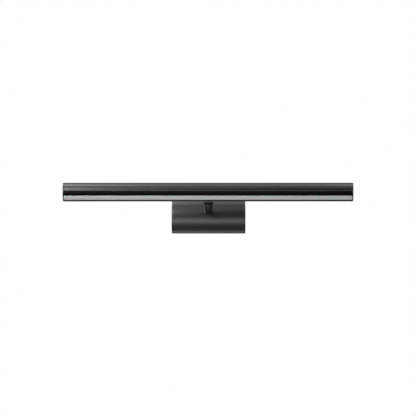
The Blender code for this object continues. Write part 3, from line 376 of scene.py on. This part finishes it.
def turned(name, profile, centre=(0, 0, 0), axis=(0, -1, 0), steps=96, closed=False):
    """A shape turned about an axis. A profile's radius may be a function of the angle."""
    place = axis_frame(centre, axis)
    rings = []
    for radius, height in profile:
        if not callable(radius) and radius < 1e-7:
            rings.append([place @ Vector((0, 0, height))])
            continue
        ring = []
        for step in range(steps):
            turn = TAU * step / steps
            reach = radius(turn) if callable(radius) else radius
            ring.append(place @ Vector((reach * math.cos(turn), reach * math.sin(turn), height)))
        rings.append(ring)
    return skin(name, rings, closed=closed)


def rod(name, radius, start, end, steps=48):
    start, end = Vector(start), Vector(end)
    run = end - start
    profile = [(0, 0), (radius, 0), (radius, run.length), (0, run.length)]
    return turned(name, profile, start, run, steps)


def hexagon(flats):
    """The radius of a hexagon at an angle."""
    def radius(turn):
        off = (turn + math.pi / 6) % (math.pi / 3) - math.pi / 6
        return flats / 2 / math.cos(off)
    return radius


def within(shape, limit):
    """A radius that is the shape's, but no more than a limit, as a turned chamfer leaves it."""
    return lambda turn: min(shape(turn), limit)


def socket_screw(name, seat, axis, shank, length, head, height, socket, pitch):
    """A socket-head screw. Its head sits on the seat, and its threaded shank runs on along axis."""
    profile = [(0, -length), (shank * 0.72, -length)]
    turns = int((length - MM) / pitch)
    for index in range(turns):
        base = -length + 0.3 * MM + index * pitch
        profile += [(shank * 0.88, base), (shank, base + pitch / 2)]
    profile += [(shank, -0.2 * MM), (shank, 0)]
    edge = min(0.25 * MM, height * 0.3)
    profile += filleted([(shank, 0), (head, 0), (head, height), (socket * 0.6, height)],
                        [0, edge * 0.5, edge, 0], 4)[1:-1]
    hex_socket = hexagon(socket)
    profile += [(within(hexagon(socket + 0.35 * MM), head * 0.9), height), (hex_socket, height - 0.15 * MM),
                (hex_socket, height * 0.4), (0, height * 0.32)]
    return turned(name, profile, seat, -Vector(axis), 72)


def hex_nut(name, flats, bore, start, end, pitch):
    """A nut with chamfered corners and rings for its thread."""
    start, end = Vector(start), Vector(end)
    tall = (end - start).length
    shape = hexagon(flats)
    chamfer = flats * 0.07
    profile = []
    for height, limit in ((0, 0.47), (chamfer * 0.45, 0.52), (chamfer, 0.58), (tall - chamfer, 0.58),
                          (tall - chamfer * 0.45, 0.52), (tall, 0.47)):
        profile.append((within(shape, flats * limit), height))
    profile += [(bore + 0.3 * MM, tall)]
    turns = max(2, int((tall - 0.4 * MM) / pitch))
    for index in range(turns):
        height = tall - 0.3 * MM - index * (tall - 0.6 * MM) / (turns - 1)
        profile.append((bore - (0.0 if index % 2 else 0.12 * MM), height))
    profile += [(bore + 0.3 * MM, 0)]
    return turned(name, profile, start, end - start, 72, closed=True)


def rounded_box(name, low, high, radius, segments=3):
    low, high = Vector(low), Vector(high)
    shape = bmesh.new()
    bmesh.ops.create_cube(shape, size=1, matrix=Matrix.Translation((low + high) / 2)
                          @ Matrix.Diagonal((*(high - low), 1)))
    bmesh.ops.bevel(shape, geom=shape.edges[:], offset=radius, segments=segments, affect='EDGES',
                    profile=0.5, clamp_overlap=True)
    return finish_mesh(name, shape)


def worked(obj, cutters=(), unions=()):
    """The object with others joined on and cutters cut out of it."""
    for tools, operation in ((unions, 'UNION'), (cutters, 'DIFFERENCE')):
        for tool in tools:
            modifier = obj.modifiers.new(tool.name, 'BOOLEAN')
            modifier.operation = operation
            modifier.solver = 'EXACT'
            modifier.object = tool
    made = bpy.data.meshes.new_from_object(obj.evaluated_get(bpy.context.evaluated_depsgraph_get()))
    old = obj.data
    obj.modifiers.clear()
    made.name = obj.name
    obj.data = made
    bpy.data.meshes.remove(old)
    for tool in (*unions, *cutters):
        data = tool.data
        bpy.data.objects.remove(tool)
        bpy.data.meshes.remove(data)
    made.shade_smooth()
    made.set_sharp_from_angle(angle=SHARP_ANGLE)
    return obj


def fit(obj, body, slot, material, *replaced):
    obj.data.materials.clear()
    obj.data.materials.append(material)
    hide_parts(*replaced)
    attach(obj, body)
    return obj


def dress(node, material, edge=0.0, smooth=0):
    """A CAD node whose shape is right keeps it, and gets its finish, broken edges or a finer tube."""
    obj = nodes[node]
    obj.data.materials.clear()
    obj.data.materials.append(material)
    weld = obj.modifiers.new("Weld", 'WELD')
    weld.merge_threshold = 2 * MERGE
    if smooth:
        finer = obj.modifiers.new("Finer", 'SUBSURF')
        finer.levels = smooth
        finer.render_levels = smooth
    if edge:
        bevel = obj.modifiers.new("Edges", 'BEVEL')
        bevel.width = edge
        bevel.segments = 2
        bevel.limit_method = 'ANGLE'
        bevel.angle_limit = math.radians(50)
    return obj


# ---------------------------------------------------------------- Bar

def arc(radius, start, end, centre=(0, 0), step=math.radians(2)):
    """Points of the section on an arc. Angles are measured from the lens axis."""
    count = max(1, round(abs(end - start) / step))
    angles = [start + (end - start) * index / count for index in range(count + 1)]
    return [(centre[0] + radius * math.sin(angle), centre[1] + radius * math.cos(angle))
            for angle in angles]


def mirrored(half):
    return half + [(-x, y) for x, y in reversed(half)]


def drawn(name, outline, stations):
    """A section's outline drawn out along the bar."""
    rings = [[section(x, across, along) for across, along in outline] for x in stations]
    return skin(name, rings, ends=True)


def bar_stations():
    count = 24
    return [-EXTRUSION_HALF + 2 * EXTRUSION_HALF * index / count for index in range(count + 1)]


def make_cover():
    """The gunmetal tube, open where the bands and the lens show."""
    lip = 0.35 * MM                    # the broken edge of its wall
    lip_turn = lip / BAR_RADIUS
    half = [(BORE * math.sin(OPENING), BORE * math.cos(OPENING)),
            ((BAR_RADIUS - lip) * math.sin(OPENING), (BAR_RADIUS - lip) * math.cos(OPENING)),
            ((BAR_RADIUS - lip * 0.3) * math.sin(OPENING + lip_turn * 0.3),
             (BAR_RADIUS - lip * 0.3) * math.cos(OPENING + lip_turn * 0.3))]
    half += arc(BAR_RADIUS, OPENING + lip_turn, math.pi)
    inner = arc(BORE, math.pi, OPENING + lip_turn)
    other_half = [(-x, y) for x, y in reversed(half[:-1])]
    other_inner = [(-x, y) for x, y in reversed(inner[1:])]
    cover = drawn("bar_cover", half + other_half + other_inner + inner, bar_stations())
    start, end = BAR.y + BAR_RADIUS + MM, BAR.y + BAR_RADIUS - 8 * MM
    holes = []
    for word in ("left", "right"):
        x = middle(f"saddle_screw_{word}").x
        holes.append(rod(f"cover_hole_{word}", M4_HOLE, (x, start, BAR.z), (x, end, BAR.z)))
    holes.append(rod("cover_wire_hole", WIRE_HOLE, (0, start, BAR.z), (0, end, BAR.z)))
    return fit(worked(cover, holes), "light_bar", "satin_gunmetal", GUNMETAL, "bar_housing")


def make_bands():
    """The black extrusion: its arms carry the two bands beside the lens, and its web the board."""
    seam = GAP / BAR_RADIUS
    groove_floor = BAND_RADIUS - CARRIER_LIP - 2 * GAP - FOOT_THICKNESS
    arm_inside = min(RAIL_RADIUS - CARRIER_WALL, groove_floor)
    groove_end = LENS_HALF_ANGLE + (FOOT_WIDTH + GAP) / BAND_RADIUS
    lip_end = LENS_HALF_ANGLE + seam
    reach = math.asin(CHANNEL_DROP / CHANNEL_RADIUS)
    ledge_root = groove_end + CARRIER_LIP / BAND_RADIUS
    edge = 0.3 * MM
    break_turn = edge / BAND_RADIUS
    half = arc(CHANNEL_RADIUS, reach - math.pi / 2, -reach - 1.5 * math.pi,
               (CHANNEL_X, -CHANNEL_DROP), math.radians(12))
    half += arc(RAIL_RADIUS, math.pi / 2, OPENING - seam)
    half += arc(BAND_RADIUS - edge, OPENING - seam, OPENING - seam)[:1]
    half += arc(BAND_RADIUS, OPENING - seam - break_turn, lip_end + break_turn)
    half += arc(BAND_RADIUS - edge, lip_end, lip_end)[:1]
    half += arc(BAND_RADIUS - CARRIER_LIP, lip_end, groove_end)
    half += arc(groove_floor, groove_end, lip_end)
    half += arc(groove_floor - CARRIER_LIP, lip_end, ledge_root)
    half += arc(arm_inside, ledge_root, math.acos(WEB / arm_inside))
    bands = drawn("band_extrusion", mirrored(half), bar_stations())
    return fit(bands, "light_bar", "black_anodised", BLACK_METAL, "led_carrier")


def make_lens():
    """The frosted strip, with a foot along each side for the carrier's grooves."""
    foot_top = BAND_RADIUS - CARRIER_LIP - GAP
    foot_end = LENS_HALF_ANGLE + FOOT_WIDTH / BAND_RADIUS
    root = LENS_HALF_ANGLE * 0.9
    break_turn = 0.35 * MM / BAND_RADIUS
    half = arc(BAND_RADIUS, 0, LENS_HALF_ANGLE - break_turn, step=math.radians(1.5))
    half += arc(BAND_RADIUS - 0.3 * MM, LENS_HALF_ANGLE, LENS_HALF_ANGLE)[:1]
    half += arc(foot_top, LENS_HALF_ANGLE, foot_end)
    half += arc(foot_top - FOOT_THICKNESS, foot_end, root)
    half += arc(BAND_RADIUS - LENS_THICKNESS, root, 0)
    lens = drawn("frosted_lens", mirrored(half[1:-1]), bar_stations())
    return fit(lens, "light_bar", "opal_acrylic", OPAL, "diffuser")


def make_end(side, word):
    """A cap with its turned edge and two countersunk fixings."""
    pocket = 0.9 * MM                  # for the gasket
    profile = filleted([(0, BAR_END), (BAR_RADIUS, BAR_END), (BAR_RADIUS, CAP_INSIDE), (BORE, CAP_INSIDE),
                        (BORE, CAP_INSIDE + pocket), (0, CAP_INSIDE + pocket)],
                       [0, TURNED_EDGE, 0.12 * MM, 0, 0, 0], 6)
    cap = turned(f"cap_disc_{word}", profile, BAR, (side, 0, 0), 144)
    cutters = []
    for place, across in (("front", CHANNEL_X), ("back", -CHANNEL_X)):
        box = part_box(f"end_cap_screw_{word}_{place}")
        head = (box[1].y - box[0].y) / 2
        seat = abs(box[0 if side < 0 else 1].x) - CAP_SCREW_HEAD
        floor, inside, outside = (section(side * x, across, -CHANNEL_DROP)
                                  for x in (seat - GAP, CAP_INSIDE - MM, BAR_END + MM))
        cutters.append(rod(f"bore_{place}", head + GAP, floor, outside))
        cutters.append(rod(f"hole_{place}", M3_HOLE, inside, outside))
        screw = socket_screw(f"cap_screw_{word}_{place}", section(side * seat, across, -CHANNEL_DROP),
                             (-side, 0, 0), M3_SHANK, CAP_SCREW_LENGTH, head, CAP_SCREW_HEAD,
                             M3_SOCKET, M3_PITCH)
        fit(screw, "light_bar", "black_steel", BLACK_STEEL, f"end_cap_screw_{word}_{place}")
    fit(worked(cap, cutters), "light_bar", "satin_gunmetal", CAP_METAL, f"end_cap_{word}")
    dress(f"end_gasket_{word}", RUBBER)


make_cover()
make_bands()
make_lens()
make_end(-1, "left")
make_end(1, "right")


# ---------------------------------------------------------------- Stem

def make_flange():
    """The collar at the stem's root, hollowed to sit on the plate's bowed face."""
    back, front = depth_range("stem_flange")
    radius = size("stem_flange").z / 2
    profile = filleted([(radius, front), (radius, back), (STEM_BORE, back), (STEM_BORE, front)],
                       [TURNED_EDGE, 0, 0, 0], 6, closed=True)
    flange = turned("root_flange", profile, closed=True)
    seat = rod("flange_seat", PLATE_RADIUS + GAP, (2 * radius, -PLATE_CENTRE, 0),
               (-2 * radius, -PLATE_CENTRE, 0), 360)
    fit(worked(flange, [seat]), "wall_mount", "satin_gunmetal", CAP_METAL, "stem_flange")


def make_tube():
    """The stem, with a tenon at its front for the collar."""
    back, front = depth_range("stem_tube")
    shoulder = depth_range("lock_collar")[0] - GAP
    radius = size("stem_tube").z / 2
    profile = filleted([(STEM_BORE, front), (NECK_RADIUS, front), (NECK_RADIUS, shoulder),
                        (radius, shoulder), (radius, back), (STEM_BORE, back)],
                       [0, 0.2 * MM, 0, 0.5 * MM, 0.2 * MM, 0], 5, closed=True)
    tube = turned("stem_post", profile, closed=True)
    fit(tube, "wall_mount", "satin_gunmetal", CAP_METAL, "stem_tube")


def make_collar():
    """The collar that holds the knuckle's neck, with its screw."""
    back, front = depth_range("lock_collar")
    radius = size("lock_collar").z / 2
    bore = NECK_RADIUS + GAP
    profile = filleted([(radius, front), (radius, back), (bore, back), (bore, front)],
                       [TURNED_EDGE, TURNED_EDGE, 0.2 * MM, 0.3 * MM], 6, closed=True)
    collar = turned("swivel_collar", profile, closed=True)
    at = middle("collar_screw")
    hole = rod("collar_tap", M4_TAPPED, at, at + Vector((0, 0, 12 * MM)))
    fit(worked(collar, [hole]), "wall_mount", "satin_gunmetal", CAP_METAL, "lock_collar")
    dress("collar_screw", BLACK_STEEL, 0.12 * MM)


make_flange()
make_tube()
make_collar()


# ---------------------------------------------------------------- Backplate

def plate_outline(inset, back, corner):
    """The plate's section in depth and height, its face an arc and its long edges rounded."""
    half, radius = PLATE_HALF - inset, PLATE_RADIUS - inset
    corner_depth = PLATE_CENTRE + math.sqrt((radius - corner) ** 2 - (half - corner) ** 2)
    reach = math.atan2(half - corner, corner_depth - PLATE_CENTRE)
    upper = [(back, half)]
    for step in range(7):
        turn = math.pi / 2 + (reach - math.pi / 2) * step / 6
        upper.append((corner_depth + corner * math.cos(turn), half - corner + corner * math.sin(turn)))
    for step in range(1, 33):
        turn = reach * (1 - step / 32)
        upper.append((PLATE_CENTRE + radius * math.cos(turn), radius * math.sin(turn)))
    return upper + [(depth, -height) for depth, height in reversed(upper[:-1])]


def plate_solid(name, stations, back):
    """The section drawn along the plate. Stations give a place on X, an inset and a corner radius."""
    rings = [[Vector((x, -depth, height)) for depth, height in plate_outline(inset, back, corner)]
             for x, inset, corner in stations]
    return skin(name, rings, ends=True)


def make_plate():
    """A pan with a bowed face, open towards the wall, its edges rounded."""
    half_width = size("backplate").x / 2
    edge, inner_edge = 2.0 * MM, 0.8 * MM
    steps = 6
    turns = [math.pi / 2 * step / steps for step in range(steps + 1)]
    right = [(half_width - edge + edge * math.sin(turn), edge * (1 - math.cos(turn)),
              edge * math.cos(turn) + 0.1 * MM) for turn in turns]
    stations = [(-x, inset, corner) for x, inset, corner in reversed(right)] + right
    plate = plate_solid("wall_plate", stations, 0)
    inner = half_width - PLATE_WALL
    inner_stations = [(x, PLATE_WALL, inner_edge) for x in (-inner, inner)]
    cutters = [plate_solid("plate_inside", inner_stations, -MM),
               rod("plate_centre_hole", STEM_BORE, (0, 0, 0), (0, -PLATE_FRONT - MM, 0))]
    for side, word in ((-1, "left"), (1, "right")):
        at = middle(f"side_screw_{word}")
        cutters.append(rod(f"plate_hole_{word}", M4_TAPPED, (side * (half_width - 3 * MM), at.y, at.z),
                           (side * (half_width + MM), at.y, at.z)))
        dress(f"side_screw_{word}", BLACK_STEEL, 0.12 * MM)
    return fit(worked(plate, cutters), "wall_mount", "satin_gunmetal", PLATE_METAL, "backplate")


make_plate()


# ---------------------------------------------------------------- Knuckle

def half_drum(name, side):
    """Half of the knuckle, its inner edge just broken and its outer edge rounded."""
    profile = filleted([(0, KNUCKLE_FACE), (KNUCKLE_RADIUS, KNUCKLE_FACE),
                        (KNUCKLE_RADIUS, KNUCKLE_RADIUS), (0, KNUCKLE_RADIUS)],
                       [0, 0.3 * MM, 1.2 * MM, 0], 6)
    return turned(name, profile, PIVOT, (side, 0, 0), 128)


def drum_cutters(word, side):
    """The hollow for the leads, and the hole for the pivot screw."""
    across = Vector((side, 0, 0))
    return [rod(f"{word}_pocket", POCKET_RADIUS, PIVOT, PIVOT + across * (KNUCKLE_RADIUS - KNUCKLE_WALL)),
            rod(f"{word}_pivot_hole", M4_HOLE, PIVOT, PIVOT + across * (KNUCKLE_RADIUS + MM))]


def make_rear_knuckle():
    """Half drum, neck and spigot, with the pivot screw's seat."""
    drum = half_drum("rear_drum", -1)
    back = depth_range("knuckle_rear")[0]
    neck_front = -PIVOT.y - KNUCKLE_RADIUS - GAP
    neck_back = depth_range("stem_tube")[1] + GAP
    groove = (neck_back + depth_range("lock_collar")[1]) / 2
    half_groove, groove_depth = 2.3 * MM, 0.8 * MM
    waist = NECK_RADIUS - groove_depth
    profile = filleted([(0, neck_front), (NECK_RADIUS, neck_front), (NECK_RADIUS, groove + half_groove),
                        (waist, groove + half_groove), (waist, groove - half_groove),
                        (NECK_RADIUS, groove - half_groove), (NECK_RADIUS, neck_back),
                        (SPIGOT_RADIUS, neck_back), (SPIGOT_RADIUS, back), (0, back)],
                       [0, 0.6 * MM, 0, 0, 0, 0, 0.3 * MM, 0, 0.4 * MM, 0], 4)
    neck = turned("rear_neck", profile)
    half_web = NECK_RADIUS * 0.7
    web = rounded_box("rear_web", (-NECK_RADIUS, PIVOT.y, -half_web),
                      (-KNUCKLE_FACE, -neck_front + MM, half_web), 0.5 * MM)
    cutters = drum_cutters("rear", -1) + [rod("rear_wire_bore", WIRE_BORE, (0, -back + MM, 0), PIVOT)]
    knuckle = worked(drum, cutters, [neck, web])
    return fit(knuckle, "swivel", "satin_gunmetal", CAP_METAL, "knuckle_rear")


def make_front_knuckle():
    """Half drum and the saddle that holds the bar."""
    drum = half_drum("front_drum", 1)
    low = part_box("knuckle_front")[0]
    web = rounded_box("front_web", (KNUCKLE_FACE, -(SADDLE_BACK + 1.5 * MM), -NECK_RADIUS),
                      (KNUCKLE_RADIUS, PIVOT.y, NECK_RADIUS), 0.5 * MM)
    saddle = rounded_box("saddle_block", (low.x, low.y, -SADDLE_HALF_HEIGHT),
                         (-low.x, -SADDLE_BACK, SADDLE_HALF_HEIGHT), 1.0 * MM, 4)
    along = Vector((-low.x + 10 * MM, 0, 0))
    cutters = [rod("saddle_hollow", BAR_RADIUS + GAP, BAR - along, BAR + along, 144)]
    cutters += drum_cutters("front", 1)
    cutters.append(rod("front_wire_bore", WIRE_BORE, PIVOT, (0, low.y - MM, 0)))
    seat = SADDLE_BACK - GAP
    for word in ("left", "right"):
        x = middle(f"saddle_screw_{word}").x
        cutters.append(rod(f"saddle_hole_{word}", M4_HOLE, (x, -SADDLE_BACK + MM, 0), (x, low.y - MM, 0)))
        length = depth_range(f"saddle_screw_{word}")[1] - seat
        head = size(f"saddle_screw_{word}").z / 2
        screw = socket_screw(f"saddle_bolt_{word}", (x, -seat, 0), (0, -1, 0), M4_SHANK, length, head,
                             SADDLE_SCREW_HEAD, M4_SOCKET, M4_PITCH)
        fit(screw, "light_bar", "black_steel", BLACK_STEEL, f"saddle_screw_{word}")
    knuckle = worked(drum, cutters, [web, saddle])
    return fit(knuckle, "light_bar", "satin_gunmetal", CAP_METAL, "knuckle_front")


def make_pivot_hardware():
    """The screw, nut and washers that the bar tilts about."""
    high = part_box("pivot_screw")[1]
    seat = KNUCKLE_RADIUS + GAP
    screw = socket_screw("pivot_bolt", PIVOT - Vector((seat, 0, 0)), (1, 0, 0), M4_SHANK, high.x + seat,
                         size("pivot_screw").z / 2, PIVOT_SCREW_HEAD, M4_SOCKET, M4_PITCH)
    fit(screw, "swivel", "black_steel", BLACK_STEEL, "pivot_screw")
    low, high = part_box("pivot_nut")
    nut = hex_nut("pivot_hex_nut", NUT_FLATS, M4_TAPPED, (low.x, PIVOT.y, PIVOT.z),
                  (high.x, PIVOT.y, PIVOT.z), M4_PITCH)
    fit(nut, "swivel", "black_steel", BLACK_STEEL, "pivot_nut")
    dress("friction_washer", RUBBER, 0.1 * MM)
    dress("spring_washer", ZINC, 0.15 * MM)


def make_bar_inside():
    dress("nut_bar", ZINC, 0.3 * MM)
    dress("wire_grommet", RUBBER, 0.2 * MM)
    dress("led_board", BOARD_WHITE)
    dress("bar_lead", WHITE_PVC, smooth=1)


make_rear_knuckle()
make_front_knuckle()
make_pivot_hardware()
make_bar_inside()


# ---------------------------------------------------------------- Inside the backplate

def make_inside():
    dress("wall_bracket", ZINC, 0.3 * MM)
    dress("ground_screw", GREEN_STEEL, 0.2 * MM)
    dress("ground_wire", GREEN_PVC, smooth=1)
    dress("live_lead", BLACK_PVC, smooth=1)
    dress("neutral_lead", WHITE_PVC, smooth=1)
    dress("output_lead", WHITE_PVC, smooth=1)
    dress("driver_screw_left", ZINC, 0.15 * MM)
    dress("driver_screw_right", ZINC, 0.15 * MM)
    dress("terminal_screw", ZINC, 0.15 * MM)
    dress("lock_washer", ZINC, 0.15 * MM)
    dress("stem_nipple", BRASS, 0.1 * MM)
    dress("led_driver", WHITE_PLASTIC, 0.3 * MM)
    dress("terminal_block", WHITE_PLASTIC, 0.25 * MM)
    low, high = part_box("lock_nut")
    nut = hex_nut("plate_hex_nut", LOCK_NUT_FLATS, STEM_BORE, (0, high.y, 0), (0, low.y, 0), NIPPLE_PITCH)
    fit(nut, "wall_mount", "brass", BRASS, "lock_nut")


make_inside()


# ---------------------------------------------------------------- Studio

def aimed(obj, place, target):
    obj.location = place
    obj.rotation_euler = (Vector(target) - Vector(place)).to_track_quat('-Z', 'Y').to_euler()
    scene.collection.objects.link(obj)
    return obj


def softbox(name, place, target, width, height, power):
    lamp = bpy.data.lights.new(name, 'AREA')
    lamp.shape = 'RECTANGLE'
    lamp.size, lamp.size_y = width, height
    lamp.energy = power
    obj = aimed(bpy.data.objects.new(name, lamp), place, target)
    obj.visible_camera = False
    return obj


def make_floor(height):
    """A pale floor. It is shown brighter than it lights the object."""
    shape = bmesh.new()
    bmesh.ops.create_grid(shape, x_segments=8, y_segments=8, size=30)
    floor = finish_mesh("floor", shape)
    floor.location.z = height
    look = Shader("floor_paint", 0.6)
    paint = look.mix(look.noise(2.0), (0.78, 0.78, 0.77), (0.82, 0.82, 0.81))
    look.colour(paint)
    out = look.tree.nodes["Material Output"]
    glow = look.tree.nodes.new("ShaderNodeEmission")
    blend = look.tree.nodes.new("ShaderNodeMixShader")
    path = look.tree.nodes.new("ShaderNodeLightPath")
    look.link(paint, glow.inputs["Color"])
    look.link(path.outputs["Is Camera Ray"], blend.inputs[0])
    look.link(look.surface.outputs[0], blend.inputs[1])
    look.link(glow.outputs[0], blend.inputs[2])
    look.link(blend.outputs[0], out.inputs["Surface"])
    floor.data.materials.append(look.material)


def make_world(shown, lighting):
    """A white surround that lights the object less than it shows."""
    world = bpy.data.worlds.new("studio")
    scene.world = world
    world.use_nodes = True
    tree = world.node_tree
    tree.nodes.clear()
    out = tree.nodes.new("ShaderNodeOutputWorld")
    mix = tree.nodes.new("ShaderNodeMixShader")
    path = tree.nodes.new("ShaderNodeLightPath")
    tree.links.new(path.outputs["Is Camera Ray"], mix.inputs[0])
    for index, strength in ((1, lighting), (2, shown)):
        background = tree.nodes.new("ShaderNodeBackground")
        background.inputs["Color"].default_value = (1, 1, 1, 1)
        background.inputs["Strength"].default_value = strength
        tree.links.new(background.outputs[0], mix.inputs[index])
    tree.links.new(mix.outputs[0], out.inputs[0])


SENSOR_WIDTH = 36
CAMERA_DISTANCE = 4.8
CAMERA_BELOW = math.radians(21)
CAMERA_ASIDE = math.radians(0.6)
CAMERA_LEVEL = math.sin(CAMERA_ASIDE) * math.sin(CAMERA_BELOW)      # keeps the bar level in the view
VIEW_WIDTH = 0.8464                    # across the frame, at the bar
AIM = BAR + Vector((0, 11.6 * MM, -30.2 * MM))


def make_camera():
    lens = bpy.data.cameras.new("camera")
    lens.sensor_width = SENSOR_WIDTH
    lens.lens = SENSOR_WIDTH * CAMERA_DISTANCE / VIEW_WIDTH
    lens.clip_end = 60
    away = Vector((math.sin(CAMERA_ASIDE), -math.cos(CAMERA_BELOW), -math.sin(CAMERA_BELOW)))
    camera = aimed(bpy.data.objects.new("camera", lens), AIM + away * CAMERA_DISTANCE, AIM)
    camera.rotation_euler.rotate_axis('Z', CAMERA_LEVEL)
    scene.camera = camera


FLOOR = -2.1
make_camera()
make_floor(FLOOR)
make_world(shown=1.0, lighting=0.05)

# Each lamp has a place, a target, a width, a height and a power. The powers came from a fit of
# single-lamp renders to the photograph's brightness, and were then rounded and changed.
softbox("left_upper", (-0.75, -1.1, 0.4), (-0.3, -0.1, 0), 0.7, 0.5, 6)
softbox("left_middle", (-0.75, -1.1, 0), (-0.3, -0.1, 0), 0.7, 0.4, 2)
softbox("overhead", (0, -0.4, 1.4), (0, -0.1, 0), 3.2, 1.0, 8)
softbox("overhead_back", (0, 0.6, 1.1), (0, -0.1, 0), 2.8, 0.8, 2)
softbox("overhead_left", (-0.6, -0.3, 0.9), (-0.2, -0.1, 0), 0.8, 0.6, 3)
softbox("overhead_right", (0.7, -0.3, 0.9), (0.2, -0.1, 0), 0.8, 0.6, 2)
softbox("front_upper", (-0.1, -1.2, 0.9), (0, -0.1, 0), 1.8, 0.5, 1)
softbox("front_low", (-0.2, -2.0, -0.55), (0, -0.1, 0), 1.6, 0.5, 3.5)
softbox("under", (0, 0.15, -1.4), (0, -0.1, 0), 2.4, 0.5, 6.5)
softbox("behind", (-0.3, 1.9, 0.5), (0, 0, 0), 2.2, 1.2, 11)
softbox("behind_low", (-0.6, 1.6, -0.65), (0, 0, 0), 1.8, 0.8, 2)
scene.view_settings.view_transform = 'Standard'
